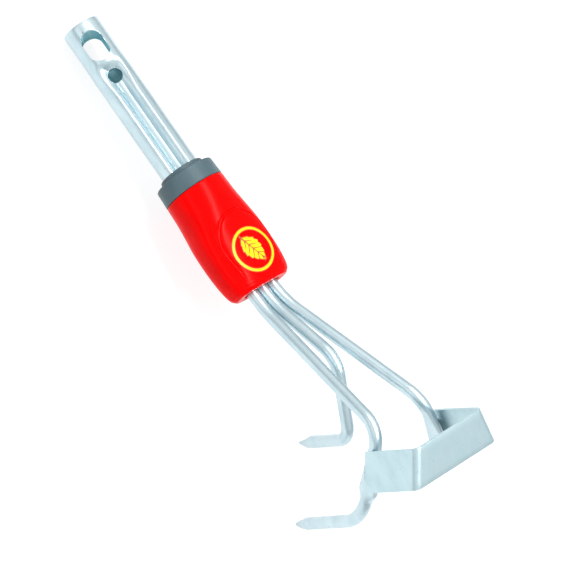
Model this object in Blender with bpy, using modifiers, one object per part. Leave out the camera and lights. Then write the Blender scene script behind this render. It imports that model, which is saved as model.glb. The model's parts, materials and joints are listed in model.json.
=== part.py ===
"""Hand cultivator head: three bent tines and a U-shaped hoe blade on a snap-in shank.

Every piece is modelled in the tool frame, in metres: the origin is at the centre of the
shank's free end, +X runs along the shank to the tines, +Y is the tool's left and +Z is the
badge side. An empty then lays the whole tool down as it rests: on the rim of the shank and
the two outer tine tips, with the ground at z = 0 and the origin below the middle of its box.
"""

from math import atan2, cos, hypot, pi, radians, sin, sqrt

import bmesh
import bpy
from mathutils import Matrix, Vector

MM = 0.001
GAP = 0.3 * MM                      # clearance between pieces that touch

# Shank tube
SHANK_DIAMETER = 25.0 * MM
SHANK_WALL = 1.5 * MM
SHANK_EXPOSED = 111.0 * MM          # free end to the seal ring
SHANK_CLOCKING = radians(29.0)      # lock hole and groove, turned about X from the badge
ROUND_LENGTH = 28.0 * MM            # plain round stretch at the free end
GROOVE_RUN_IN = 9.0 * MM            # from round to full groove
FLUTE_WIDTH = 25.4 * MM
FLUTE_HEIGHT = 22.6 * MM
GROOVE_DEPTH = 5.6 * MM
GROOVE_FLOOR_ANGLE = radians(15.0)  # half the angle that the floor takes
GROOVE_LIP_ANGLE = radians(36.0)    # half the angle between the lips
LOCK_HOLE_CENTRE = 17.3 * MM        # from the free end
LOCK_HOLE_LENGTH = 21.0 * MM
LOCK_HOLE_WIDTH = 14.0 * MM
VENT_HOLE_DIAMETER = 9.0 * MM
VENT_HOLE_CENTRE = 39.0 * MM

# Tine rods
ROD_DIAMETER = 8.0 * MM
ROD_IN_CRIMP = 36.0 * MM            # length of rod held inside the tube
ROD_FLAT_TOP = 6.6 * MM             # outer rods, forged thin where the blade sits: the
ROD_FLAT_BOTTOM = 4.2 * MM          # thickness at the top edge and at the cutting edge
ROD_FLAT_WIDTH = 15.4 * MM          # at the cutting edge
ROD_FLAT_RUN_OUT = 7.0 * MM         # from flat back to round
TIP_LENGTH = 14.0 * MM
TIP_DIAMETER = 1.6 * MM
CENTRE_RISE = (64.5 * MM, 21.6 * MM)        # x beyond the sleeve and z of each corner
CENTRE_HEEL = (106.9 * MM, -15.8 * MM)
CENTRE_TIP = (87.5 * MM, -62.2 * MM)
OUTER_RISE = (116.3 * MM, 43.1 * MM)
OUTER_HEEL = (154.6 * MM, 0.6 * MM)
OUTER_TIP = (129.3 * MM, -70.0 * MM)
OUTER_TIP_SPREAD = 63.5 * MM        # between the two outer tips
ROD_LEAD_OUT = 12.0 * MM            # straight rod beyond the sleeve
EXIT_BEND = 60.0 * MM
RISE_BEND = 18.0 * MM
CENTRE_HEEL_BEND = 14.0 * MM
OUTER_HEEL_BEND = 28.0 * MM

# Hoe blade, one strip folded to a U
BLADE_THICKNESS = 1.8 * MM
BLADE_HEIGHT = 25.0 * MM
BLADE_TOP_WIDTH = 55.0 * MM
BLADE_EDGE_WIDTH = 68.4 * MM
BLADE_TOP = (140.6 * MM, 73.4 * MM)         # x beyond the sleeve and z of the top edge
BLADE_SLOPE = radians(-37.2)                # direction from top edge to cutting edge
ARM_SLOPE = radians(-113.2)                 # direction of the arms, blade to rods
ARM_SPLAY = radians(2.0)            # each arm, outwards from straight back
ARM_LENGTH = 44.0 * MM
FOLD_RADIUS = 3.0 * MM
BLADE_WELD_DIAMETER = 2.2 * MM
ROOT_WELD_DIAMETER = 2.4 * MM

# Collar and sleeve
SEAL_HEIGHT = 3.5 * MM
SEAL_WIDTH = 1.6 * MM               # of the ring's face, from its bore outwards
COLLAR_HEIGHT = 12.0 * MM
COLLAR_DIAMETER = 41.0 * MM
COLLAR_TAPER = 0.5 * MM             # how much smaller the free edge's radius is
SPIGOT_LENGTH = 4.0 * MM
SLEEVE_LENGTH = 73.5 * MM
SLEEVE_WIDTH = 48.8 * MM            # at the widest place
SLEEVE_THICKNESS = 30.0 * MM        # at the same place
SLEEVE_WALL = 2.8 * MM
SLEEVE_END_WALL = 3.5 * MM
SLOT_MARGIN = 1.4 * MM              # between the rods and the edge of the slot
BUSH_LENGTH = 12.0 * MM
PIN_DIAMETER = 4.0 * MM

# Badge
PANEL_THICKNESS = 0.9 * MM
PANEL_WIDTH = 38.0 * MM
PANEL_END_WIDTH = 32.0 * MM         # at the slot end
PANEL_LENGTH = 44.0 * MM
PANEL_ROUND = 22.0 * MM             # length of the rounded end towards the collar
PANEL_END_MARGIN = 5.0 * MM         # sleeve end to panel
BADGE_THICKNESS = 0.5 * MM
BADGE_DIAMETER = 29.6 * MM
BADGE_STROKE = 2.2 * MM
BADGE_FROM_END = 21.0 * MM          # sleeve end to badge centre
LEAF_LENGTH = 21.0 * MM
LEAF_WIDTH = 14.0 * MM

# Stations along X
COLLAR_START = SHANK_EXPOSED + SEAL_HEIGHT
SLEEVE_START = COLLAR_START + COLLAR_HEIGHT
SLEEVE_END = SLEEVE_START + SLEEVE_LENGTH
CRIMP_END = SLEEVE_END - SLEEVE_END_WALL - ROOT_WELD_DIAMETER - 6.0 * MM
ROD_START = CRIMP_END - ROD_IN_CRIMP
CRIMP_START = ROD_START - 2.0 * MM
FLUTE_END = CRIMP_START - 10.0 * MM
BORE_RADIUS = FLUTE_WIDTH / 2 + GAP
SEAL_DIAMETER = 2 * (BORE_RADIUS + GAP + SEAL_WIDTH)
ROD_PITCH = ROD_DIAMETER + GAP
CRIMP_WIDTH = 2 * ROD_PITCH + ROD_DIAMETER + 2 * (GAP + SHANK_WALL)
CRIMP_HEIGHT = ROD_DIAMETER + 2 * (GAP + SHANK_WALL)

# The sleeve's outline from collar end to tine end: place along it, then its width,
# thickness and squareness there, as shares of the way from the collar's round section
# to the widest section.
SLEEVE_STATIONS = (
    (0.00, 0.00, 0.00, 0.00),
    (0.17, 0.15, 0.13, 0.15),
    (0.31, 0.42, 0.34, 0.45),
    (0.44, 0.78, 0.62, 0.75),
    (0.58, 0.96, 0.85, 0.95),
    (0.71, 1.00, 1.00, 1.00),
    (0.82, 0.90, 1.10, 1.00),
    (0.92, 0.62, 1.24, 1.00),
    (0.97, 0.28, 1.42, 1.00),
    (1.00, -0.32, 1.72, 1.00),
)
ROUND_EXPONENT = 2.0
SQUARE_EXPONENT = 2.8

SHANK_SIDES = 56
SLEEVE_SIDES = 44
ROD_SIDES = 12
TURNED_STEPS = 40


# --- helpers -----------------------------------------------------------------------------

def smoothstep(value):
    """Ease from 0 to 1 as value goes from 0 to 1."""
    value = min(max(value, 0.0), 1.0)
    return value * value * (3.0 - 2.0 * value)


def mix(first, second, share):
    """The value that lies the given share of the way from first to second."""
    return first + (second - first) * share


def make_material(name, colour, roughness, metallic):
    """A Principled material with one colour, given as linear red, green and blue."""
    material = bpy.data.materials.new(name)
    material.use_nodes = True
    shader = material.node_tree.nodes["Principled BSDF"]
    shader.inputs["Base Color"].default_value = (*colour, 1.0)
    shader.inputs["Roughness"].default_value = roughness
    shader.inputs["Metallic"].default_value = metallic
    material.diffuse_color = (*colour, 1.0)
    return material


def add_object(name, mesh, material=None, parent=None, collection=None, smooth=True):
    """Put a mesh in the scene as a named object under its parent."""
    obj = bpy.data.objects.new(name, mesh)
    collection.objects.link(obj)
    obj.parent = parent
    if material:
        mesh.materials.append(material)
    if smooth:
        mesh.shade_smooth()
        mesh.set_sharp_from_angle(angle=radians(35.0))
    return obj


def mesh_from_bmesh(name, bm):
    """Turn a bmesh into mesh data, with its faces pointing outwards."""
    bmesh.ops.recalc_face_normals(bm, faces=bm.faces)
    mesh = bpy.data.meshes.new(name)
    bm.to_mesh(mesh)
    bm.free()
    return mesh


def loft_mesh(name, rings, capped=True):
    """Skin equal rings of points, in order, and close both ends when capped."""
    bm = bmesh.new()
    rows = [[bm.verts.new(point) for point in ring] for ring in rings]
    for row, next_row in zip(rows, rows[1:]):
        for i in range(len(row)):
            j = (i + 1) % len(row)
            bm.faces.new((row[i], row[j], next_row[j], next_row[i]))
    if capped:
        bm.faces.new(rows[0])
        bm.faces.new(rows[-1])
    return mesh_from_bmesh(name, bm)


def sheet_mesh(name, rows):
    """An open sheet through a grid of points, facing the way of row step x column step."""
    bm = bmesh.new()
    grid = [[bm.verts.new(point) for point in row] for row in rows]
    for row, next_row in zip(grid, grid[1:]):
        for i in range(len(row) - 1):
            bm.faces.new((row[i], next_row[i], next_row[i + 1], row[i + 1]))
    bmesh.ops.remove_doubles(bm, verts=bm.verts, dist=0.01 * MM)
    mesh = bpy.data.meshes.new(name)
    bm.to_mesh(mesh)
    bm.free()
    return mesh


def turned(name, profile, material, parent, collection):
    """A solid turned about X from a closed profile of (x, radius) points."""
    bm = bmesh.new()
    verts = [bm.verts.new((radius, 0.0, -x)) for x, radius in profile]
    for i in range(len(verts)):
        bm.edges.new((verts[i], verts[(i + 1) % len(verts)]))
    mesh = bpy.data.meshes.new(name)
    bm.to_mesh(mesh)
    bm.free()
    obj = add_object(name, mesh, material, parent, collection, smooth=False)
    obj.rotation_euler = (0.0, -pi / 2, 0.0)
    screw = obj.modifiers.new("turn", "SCREW")
    screw.steps = TURNED_STEPS
    screw.render_steps = TURNED_STEPS
    screw.merge_threshold = 0.01 * MM
    screw.use_merge_vertices = True
    screw.use_smooth_shade = True
    return obj


def solidify(obj, thickness, outwards):
    """Give a sheet its thickness, on one side of the modelled surface."""
    wall = obj.modifiers.new("wall", "SOLIDIFY")
    wall.thickness = thickness
    wall.offset = 1.0 if outwards else -1.0
    wall.use_even_offset = False


def cut(obj, cutter):
    """Take the cutter's shape out of the object."""
    hole = obj.modifiers.new(cutter.name, "BOOLEAN")
    hole.operation = "DIFFERENCE"
    hole.solver = "EXACT"
    hole.object = cutter


def make_cutter(name, mesh, parent, collection):
    """A hidden object that other pieces are cut with."""
    cutter = add_object(name, mesh, parent=parent, collection=collection, smooth=False)
    cutter.hide_render = True
    cutter.display_type = "WIRE"
    return cutter


def cylinder_mesh(name, radius, bottom, top, segments=24):
    """A capped cylinder along Z between two heights."""
    bm = bmesh.new()
    place = Matrix.Translation((0.0, 0.0, (bottom + top) / 2))
    bmesh.ops.create_cone(bm, cap_ends=True, segments=segments, radius1=radius,
                          radius2=radius, depth=top - bottom, matrix=place)
    return mesh_from_bmesh(name, bm)


def bead(name, start, end, diameter, material, parent, collection):
    """A straight run of weld metal between two points, with rounded-off ends."""
    curve = bpy.data.curves.new(name, "CURVE")
    curve.dimensions = "3D"
    curve.bevel_depth = diameter / 2
    curve.bevel_resolution = 2
    curve.use_fill_caps = True
    spline = curve.splines.new("POLY")
    stations = (0.0, 0.06, 0.18, 0.5, 0.82, 0.94, 1.0)
    radii = (0.45, 0.8, 1.0, 1.0, 1.0, 0.8, 0.45)
    spline.points.add(len(stations) - 1)
    for point, share, radius in zip(spline.points, stations, radii):
        point.co = (*start.lerp(end, share), 1.0)
        point.radius = radius
    curve.materials.append(material)
    obj = bpy.data.objects.new(name, curve)
    collection.objects.link(obj)
    obj.parent = parent
    return obj


# --- shank -------------------------------------------------------------------------------

def round_section(angle):
    """Radius of the plain tube."""
    return SHANK_DIAMETER / 2


def fluted_section(angle):
    """Radius of the pressed tube: an oval with one groove, facing the lock hole's way."""
    local = angle - SHANK_CLOCKING
    half_width = FLUTE_WIDTH / 2
    half_height = FLUTE_HEIGHT / 2
    radius = 1.0 / hypot(cos(local) / half_width, sin(local) / half_height)
    from_groove = abs((local - pi / 2 + pi) % (2 * pi) - pi)
    reach = (GROOVE_LIP_ANGLE - from_groove) / (GROOVE_LIP_ANGLE - GROOVE_FLOOR_ANGLE)
    return radius - GROOVE_DEPTH * smoothstep(reach)


def stadium_radius(angle, width, height):
    """Radius of a flat-sided oval in the direction of an angle."""
    end_radius = height / 2
    centre = (width - height) / 2
    across, up = abs(cos(angle)), abs(sin(angle))
    if up * centre > across * end_radius:
        return end_radius / up
    return centre * across + sqrt(end_radius ** 2 - (centre * up) ** 2)


def crimp_section(angle):
    """Radius of the tube where it is pressed flat over the row of rods."""
    return stadium_radius(angle, CRIMP_WIDTH, CRIMP_HEIGHT)


def shank_rings():
    """Rings of the tube's outer surface, from the free end to the crimp's mouth."""
    groove_start = ROUND_LENGTH
    groove_full = ROUND_LENGTH + GROOVE_RUN_IN
    stations = [(0.0, round_section, round_section, 0.0),
                (groove_start, round_section, round_section, 0.0)]
    for share in (0.2, 0.4, 0.6, 0.8, 1.0):
        x = mix(groove_start, groove_full, share)
        stations.append((x, round_section, fluted_section, share))
    stations.append((mix(groove_full, FLUTE_END, 0.5), fluted_section, fluted_section, 0.0))
    stations.append((FLUTE_END, fluted_section, fluted_section, 0.0))
    for share in (0.25, 0.5, 0.75, 1.0):
        x = mix(FLUTE_END, CRIMP_START, share)
        stations.append((x, fluted_section, crimp_section, share))
    stations.append((CRIMP_END, crimp_section, crimp_section, 0.0))
    rings = []
    for x, before, after, share in stations:
        ring = []
        for side in range(SHANK_SIDES):
            angle = 2 * pi * side / SHANK_SIDES
            radius = mix(before(angle), after(angle), smoothstep(share))
            ring.append((x, radius * cos(angle), radius * sin(angle)))
        rings.append(ring)
    return rings


def build_shank(steel, frame, parts, cutters):
    """The tube, with its lock hole, the vent at the groove's start and the pin's holes."""
    shank = add_object("shank_tube", loft_mesh("shank_tube", shank_rings(), capped=False),
                       steel, frame, parts)
    solidify(shank, SHANK_WALL, outwards=False)
    reach = SHANK_DIAMETER

    slot = cylinder_mesh("lock_hole_cutter", LOCK_HOLE_WIDTH / 2, -reach, reach)
    stretch = (LOCK_HOLE_LENGTH - LOCK_HOLE_WIDTH) / 2
    for vert in slot.vertices:
        if abs(vert.co.x) > 0.01 * MM:
            vert.co.x += stretch if vert.co.x > 0 else -stretch
    lock_hole = make_cutter("lock_hole_cutter", slot, frame, cutters)
    lock_hole.location = (LOCK_HOLE_CENTRE, 0.0, 0.0)
    lock_hole.rotation_euler = (SHANK_CLOCKING, 0.0, 0.0)
    cut(shank, lock_hole)

    floor = FLUTE_HEIGHT / 2 - GROOVE_DEPTH - SHANK_WALL
    vent_mesh = cylinder_mesh("vent_cutter", VENT_HOLE_DIAMETER / 2, floor / 2, reach)
    vent = make_cutter("vent_cutter", vent_mesh, frame, cutters)
    vent.location = (VENT_HOLE_CENTRE, 0.0, 0.0)
    vent.rotation_euler = (SHANK_CLOCKING, 0.0, 0.0)
    cut(shank, vent)
    return shank


# --- blade -------------------------------------------------------------------------------

def side_vector(angle):
    """Unit vector at an angle above forward, in the tool's middle plane."""
    return Vector((cos(angle), 0.0, sin(angle)))


def blade_corners(side):
    """Outer ends of one fold, at the top edge and at the cutting edge."""
    top = Vector((SLEEVE_END + BLADE_TOP[0], side * BLADE_TOP_WIDTH / 2, BLADE_TOP[1]))
    edge = top + side_vector(BLADE_SLOPE) * BLADE_HEIGHT
    edge.y = side * BLADE_EDGE_WIDTH / 2
    return top, edge


def arm_vector(side):
    """Unit vector along one arm, from the fold to the rods."""
    splay = Vector((0.0, side * sin(ARM_SPLAY), 0.0))
    return side_vector(ARM_SLOPE) * cos(ARM_SPLAY) + splay


def arm_normal(side):
    """Unit vector out of the outer face of one arm."""
    top, edge = blade_corners(side)
    normal = arm_vector(side).cross(edge - top).normalized()
    return normal if normal.y * side > 0 else -normal


def beside_arm(x, z, side, depth):
    """The point at x and z that lies depth inside the outer face of one arm."""
    top, _ = blade_corners(side)
    normal = arm_normal(side)
    away = normal.x * (x - top.x) + normal.z * (z - top.z) + depth
    return Vector((x, top.y - away / normal.y, z))


def fillet(corners, radii, step):
    """Points along a line with its inner corners rounded to the given radii."""
    points = [corners[0].copy()]
    for before, corner, after, radius in zip(corners, corners[1:], corners[2:], radii):
        to_before = (before - corner).normalized()
        to_after = (after - corner).normalized()
        half = to_before.angle(to_after) / 2
        centre = corner + (to_before + to_after).normalized() * (radius / sin(half))
        start = corner + to_before * radius * cos(half) / sin(half)
        arm = start - centre
        axis = arm.cross(-to_before).normalized()
        turn = pi - 2 * half
        count = max(2, round(turn / step))
        for i in range(count + 1):
            points.append(centre + Matrix.Rotation(turn * i / count, 3, axis) @ arm)
    points.append(corners[-1].copy())
    return points


def build_blade(steel, frame, parts):
    """The U: a front plate between two arms, folded from one straight strip."""
    left_arm, right_arm = (arm_vector(side) * ARM_LENGTH for side in (1, -1))
    lines = []
    for left, right in zip(blade_corners(1), blade_corners(-1)):
        corners = [left + left_arm, left, right, right + right_arm]
        lines.append(fillet(corners, (FOLD_RADIUS, FOLD_RADIUS), radians(20.0)))
    top_line, edge_line = lines
    mesh = sheet_mesh("hoe_blade", [edge_line, top_line])
    blade = add_object("hoe_blade", mesh, steel, frame, parts)
    solidify(blade, BLADE_THICKNESS, outwards=False)
    blade.modifiers["wall"].use_even_offset = True
    return blade


# --- rods --------------------------------------------------------------------------------

def with_stations(line, stations):
    """A line of points with more points put in where they lie on its straight runs."""
    for station in stations:
        for i, (first, second) in enumerate(zip(line, line[1:])):
            run = second - first
            share = (station - first).dot(run) / run.length_squared
            if 0.0 < share < 1.0 and (first + run * share - station).length < 0.01 * MM:
                line.insert(i + 1, station)
                break
    return line


def distances(line):
    """How far along a line each of its points lies."""
    along = [0.0]
    for first, second in zip(line, line[1:]):
        along.append(along[-1] + (second - first).length)
    return along


def flat_shares(line, flat):
    """For each point of a rod, how far along its flat it is and how much it is forged."""
    along = distances(line)
    ends = [min(range(len(line)), key=lambda i: (line[i] - end).length) for end in flat]
    start, end = (along[i] for i in ends)
    shares = []
    for place in along:
        forged = smoothstep(min(place - start, end - place) / ROD_FLAT_RUN_OUT + 1.0)
        shares.append((min(max((place - start) / (end - start), 0.0), 1.0), forged))
    return shares


def rod_line(corners, radii, flat=None):
    """Points along a bent rod, close together at its tip and about its flat stretch."""
    line = fillet(corners, radii, radians(9.0))
    tip = line[-1]
    back = (line[-2] - tip).normalized() * TIP_LENGTH
    line[-1:] = [tip + back, tip + back * 0.35, tip]
    if flat:
        start, end = flat
        run_out = (end - start).normalized() * ROD_FLAT_RUN_OUT
        before = [start - run_out * share for share in (1.0, 0.66, 0.33, 0.0)]
        after = [end + run_out * share for share in (0.0, 0.33, 0.66, 1.0)]
        line = with_stations(line, before + [(start + end) / 2] + after)
    return line


def rod_rings(line, side, flat=None):
    """Rings round a rod's line, with a pointed tip, forged thin across the side vector."""
    shares = flat_shares(line, flat) if flat else [(0.0, 0.0)] * len(line)
    along = distances(line)
    rings = []
    for i, point in enumerate(line):
        ahead = line[min(i + 1, len(line) - 1)] - point
        behind = point - line[max(i - 1, 0)]
        forward = (ahead.normalized() + behind.normalized()).normalized()
        across = (side - forward * side.dot(forward)).normalized()
        third = forward.cross(across)
        place, forged = shares[i]
        thickness = mix(ROD_FLAT_TOP, ROD_FLAT_BOTTOM, place)
        half_thickness = mix(ROD_DIAMETER, thickness, forged) / 2
        half_width = mix(ROD_DIAMETER, ROD_FLAT_WIDTH, forged * place) / 2
        to_tip = (along[-1] - along[i]) / TIP_LENGTH
        if to_tip < 0.99:
            half_thickness = half_width = mix(TIP_DIAMETER, ROD_DIAMETER, sqrt(to_tip)) / 2
        ring = []
        for k in range(ROD_SIDES):
            angle = 2 * pi * k / ROD_SIDES
            ring.append(point + across * half_thickness * cos(angle)
                        + third * half_width * sin(angle))
        rings.append(ring)
    return rings


def at_head(place, y=0.0):
    """A point from its x beyond the sleeve and its z."""
    return Vector((SLEEVE_END + place[0], y, place[1]))


def flat_run(side):
    """The two ends of an outer rod's forged flat, and the corners before and after it.

    The flat's ends are where the blade's top edge and cutting edge cross the rod, and
    each lies deep enough for the thinned rod to back the blade's arm.
    """
    rise, heel = at_head(OUTER_RISE), at_head(OUTER_HEEL)
    square = side_vector(ARM_SLOPE + pi / 2)
    shares = [(corner - rise).dot(square) / (heel - rise).dot(square)
              for corner in blade_corners(side)]
    flat = []
    for share, thickness in zip(shares, (ROD_FLAT_TOP, ROD_FLAT_BOTTOM)):
        place = rise.lerp(heel, share)
        depth = BLADE_THICKNESS + GAP + thickness / 2
        flat.append(beside_arm(place.x, place.z, side, depth))
    run = (flat[1] - flat[0]) / (shares[1] - shares[0])
    corners = [flat[0] - run * shares[0], flat[0] + run * (1.0 - shares[0])]
    return flat, corners


def build_rods(steel, frame, parts):
    """The centre tine and the two outer tines that carry the blade."""
    corners = [Vector((ROD_START, 0.0, 0.0)),
               Vector((SLEEVE_END + ROD_LEAD_OUT, 0.0, 0.0)),
               at_head(CENTRE_RISE), at_head(CENTRE_HEEL), at_head(CENTRE_TIP)]
    radii = (EXIT_BEND, RISE_BEND, CENTRE_HEEL_BEND)
    rings = rod_rings(rod_line(corners, radii), Vector((0.0, 1.0, 0.0)))
    add_object("centre_tine", loft_mesh("centre_tine", rings), steel, frame, parts)
    for name, side in (("left_tine", 1), ("right_tine", -1)):
        flat, run = flat_run(side)
        corners = [Vector((ROD_START, side * ROD_PITCH, 0.0)),
                   Vector((SLEEVE_END + ROD_LEAD_OUT, side * ROD_PITCH, 0.0)),
                   *run, at_head(OUTER_TIP, side * OUTER_TIP_SPREAD / 2)]
        line = rod_line(corners, (EXIT_BEND, RISE_BEND, OUTER_HEEL_BEND), flat)
        rings = rod_rings(line, arm_normal(side), flat)
        add_object(name, loft_mesh(name, rings), steel, frame, parts)


def build_welds(weld, frame, parts):
    """Beads that join the blade's arms to the rods, and the rods to the tube's mouth."""
    for name, side in (("left_blade_weld", 1), ("right_blade_weld", -1)):
        top, edge = blade_corners(side)
        beyond = arm_vector(side) * (ARM_LENGTH + GAP + BLADE_WELD_DIAMETER / 2)
        inwards = -arm_normal(side) * (BLADE_THICKNESS - BLADE_WELD_DIAMETER / 2)
        start = top.lerp(edge, 0.30) + beyond + inwards
        end = top.lerp(edge, 0.78) + beyond + inwards
        bead(name, start, end, BLADE_WELD_DIAMETER, weld, frame, parts)
    radius = ROOT_WELD_DIAMETER / 2
    for name, side in (("upper_root_weld", 1), ("lower_root_weld", -1)):
        z = side * (ROD_DIAMETER / 2 + GAP + radius)
        x = CRIMP_END + GAP + radius
        start = Vector((x, ROD_PITCH + ROD_DIAMETER * 0.3, z))
        end = Vector((x, -start.y, z))
        bead(name, start, end, ROOT_WELD_DIAMETER, weld, frame, parts)


# --- sleeve, collar and badge ------------------------------------------------------------

def sleeve_section(x):
    """Half width, half thickness and squareness of the sleeve's outside at x."""
    place = (x - SLEEVE_START) / SLEEVE_LENGTH
    place = min(max(place, 0.0), 1.0)
    for first, second in zip(SLEEVE_STATIONS, SLEEVE_STATIONS[1:]):
        if place <= second[0]:
            break
    share = (place - first[0]) / (second[0] - first[0])
    wide, thick, square = (mix(a, b, share) for a, b in zip(first[1:], second[1:]))
    half_width = mix(COLLAR_DIAMETER, SLEEVE_WIDTH, wide) / 2
    half_thickness = mix(COLLAR_DIAMETER, SLEEVE_THICKNESS, thick) / 2
    return half_width, half_thickness, mix(ROUND_EXPONENT, SQUARE_EXPONENT, square)


def sleeve_ring(x, inset=0.0):
    """Points round the sleeve at x, moved in by inset."""
    half_width, half_thickness, exponent = sleeve_section(x)
    half_width -= inset
    half_thickness -= inset
    ring = []
    for side in range(SLEEVE_SIDES):
        angle = 2 * pi * side / SLEEVE_SIDES
        radius = (abs(cos(angle) / half_width) ** exponent
                  + abs(sin(angle) / half_thickness) ** exponent) ** (-1.0 / exponent)
        ring.append((x, radius * cos(angle), radius * sin(angle)))
    return ring


def oval_ring(x, width, height):
    """Points round a flat-sided oval at x."""
    ring = []
    for side in range(SLEEVE_SIDES):
        angle = 2 * pi * side / SLEEVE_SIDES
        radius = stadium_radius(angle, width, height)
        ring.append((x, radius * cos(angle), radius * sin(angle)))
    return ring


def round_ring(x, radius):
    """Points round a circle at x."""
    return oval_ring(x, 2 * radius, 2 * radius)


def sleeve_stations():
    """X of each modelled ring of the sleeve."""
    return [SLEEVE_START + share[0] * SLEEVE_LENGTH for share in SLEEVE_STATIONS]


def build_sleeve(red, frame, parts, cutters):
    """The hollow moulding over the crimp, with the slot that the rods leave by."""
    rings = [sleeve_ring(x) for x in sleeve_stations()]
    sleeve = add_object("sleeve", loft_mesh("sleeve", rings), red, frame, parts)
    hollow_end = SLEEVE_END - SLEEVE_END_WALL
    inside = [x for x in sleeve_stations() if SLEEVE_START < x < hollow_end - 1.0 * MM]
    rings = [sleeve_ring(SLEEVE_START, SLEEVE_WALL)]
    rings[0] = [(x - SLEEVE_WALL, y, z) for x, y, z in rings[0]]
    rings += [sleeve_ring(x, SLEEVE_WALL) for x in inside + [hollow_end]]
    hollow = make_cutter("sleeve_hollow_cutter", loft_mesh("sleeve_hollow_cutter", rings),
                         frame, cutters)
    cut(sleeve, hollow)
    slot_width = 2 * ROD_PITCH + ROD_DIAMETER + 2 * SLOT_MARGIN
    slot_height = ROD_DIAMETER + 2 * SLOT_MARGIN
    rings = [oval_ring(x, slot_width, slot_height)
             for x in (hollow_end - SLEEVE_WALL, SLEEVE_END + SLEEVE_WALL)]
    slot = make_cutter("sleeve_slot_cutter", loft_mesh("sleeve_slot_cutter", rings),
                       frame, cutters)
    cut(sleeve, slot)


def bush_mesh(name, start, end, bore_rings):
    """A ring that fills the sleeve from start to end around a bore."""
    outer = [sleeve_ring(x, SLEEVE_WALL + GAP) for x in (start, end)]
    bm = bmesh.new()
    outside = [[bm.verts.new(point) for point in ring] for ring in outer]
    inside = [[bm.verts.new(point) for point in ring] for ring in bore_rings]
    count = SLEEVE_SIDES
    for i in range(count):
        j = (i + 1) % count
        bm.faces.new((outside[0][i], outside[0][j], outside[1][j], outside[1][i]))
        bm.faces.new((inside[0][i], inside[0][j], inside[1][j], inside[1][i]))
        bm.faces.new((outside[0][i], outside[0][j], inside[0][j], inside[0][i]))
        bm.faces.new((outside[1][i], outside[1][j], inside[1][j], inside[1][i]))
    return mesh_from_bmesh(name, bm)


def build_inside(core, steel, frame, parts, cutters):
    """The two bushes that centre the sleeve, and the spring pin that holds it."""
    start = SLEEVE_START + SPIGOT_LENGTH + GAP
    end = start + BUSH_LENGTH
    bore = [round_ring(x, BORE_RADIUS + GAP) for x in (start, end)]
    upper = add_object("upper_bush", bush_mesh("upper_bush", start, end, bore),
                       core, frame, parts)
    pin_x = (start + end) / 2
    half_width, _, _ = sleeve_section(pin_x)
    half_pin = half_width - SLEEVE_WALL - 3 * GAP
    pin_mesh = cylinder_mesh("retaining_pin", PIN_DIAMETER / 2, -half_pin, half_pin, 16)
    pin = add_object("retaining_pin", pin_mesh, steel, frame, parts)
    hole_mesh = cylinder_mesh("pin_hole_cutter", PIN_DIAMETER / 2 + GAP,
                              -2 * half_pin, 2 * half_pin, 16)
    hole = make_cutter("pin_hole_cutter", hole_mesh, frame, cutters)
    for obj in (pin, hole):
        obj.location = (pin_x, 0.0, 0.0)
        obj.rotation_euler = (pi / 2, 0.0, 0.0)
    cut(upper, hole)
    cut(bpy.data.objects["shank_tube"], hole)

    end = CRIMP_END - GAP
    start = end - BUSH_LENGTH
    bore = [oval_ring(x, CRIMP_WIDTH + 2 * GAP, CRIMP_HEIGHT + 2 * GAP)
            for x in (start, end)]
    add_object("lower_bush", bush_mesh("lower_bush", start, end, bore),
               core, frame, parts)


def build_collar(grey, rubber, frame, parts):
    """The collar that meets the handle's socket, and the seal ring on its face."""
    bore = BORE_RADIUS + GAP
    edge = COLLAR_DIAMETER / 2
    back = SLEEVE_START - GAP
    spigot = edge - SLEEVE_WALL - 2 * GAP
    round_off = 0.8 * MM
    free_edge = edge - COLLAR_TAPER
    profile = [(COLLAR_START, bore), (COLLAR_START, free_edge - round_off),
               (COLLAR_START + 0.3 * round_off, free_edge - 0.3 * round_off),
               (COLLAR_START + round_off, free_edge),
               (back, edge), (back, spigot),
               (SLEEVE_START + SPIGOT_LENGTH, spigot), (SLEEVE_START + SPIGOT_LENGTH, bore)]
    turned("collar", profile, grey, frame, parts)
    seal = SEAL_DIAMETER / 2
    front = SHANK_EXPOSED
    back = COLLAR_START - GAP
    profile = [(front, bore), (front, seal - round_off), (front + round_off, seal),
               (back, seal), (back, bore)]
    turned("seal_ring", profile, rubber, frame, parts)


def on_sleeve(x, y, lift):
    """The point of the sleeve's badge side over x and y, raised by lift."""
    half_width, half_thickness, exponent = sleeve_section(x)
    share = 1.0 - abs(y / half_width) ** exponent
    return Vector((x, y, half_thickness * share ** (1.0 / exponent) + lift))


def panel_half_width(x):
    """Half the width of the tongue-shaped panel at x: a rounded end, then a taper."""
    start = SLEEVE_END - PANEL_END_MARGIN - PANEL_LENGTH
    share = min((x - start) / PANEL_ROUND, 1.0)
    rounded = max(1.0 - (1.0 - share) ** 2.2, 0.0) ** (1 / 2.2)
    taper = smoothstep((x - start - PANEL_ROUND) / (PANEL_LENGTH - PANEL_ROUND))
    return mix(PANEL_WIDTH, PANEL_END_WIDTH, taper) / 2 * rounded


def build_panel(red, frame, parts):
    """The raised tongue on the sleeve that carries the badge."""
    end = SLEEVE_END - PANEL_END_MARGIN
    start = end - PANEL_LENGTH
    shares = (0.0, 0.02, 0.06, 0.12, 0.2, 0.3, 0.4, 0.5, 0.6, 0.7, 0.8, 0.9, 1.0)
    columns = 12
    rows = []
    for share in shares:
        x = mix(start, end, share)
        half = panel_half_width(max(x, start + 0.15 * MM))
        row = [on_sleeve(x, half * (2 * k / columns - 1), 2 * GAP)
               for k in range(columns + 1)]
        rows.append(row)
    panel = add_object("badge_panel", sheet_mesh("badge_panel", rows), red, frame, parts)
    solidify(panel, PANEL_THICKNESS, outwards=True)


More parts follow.
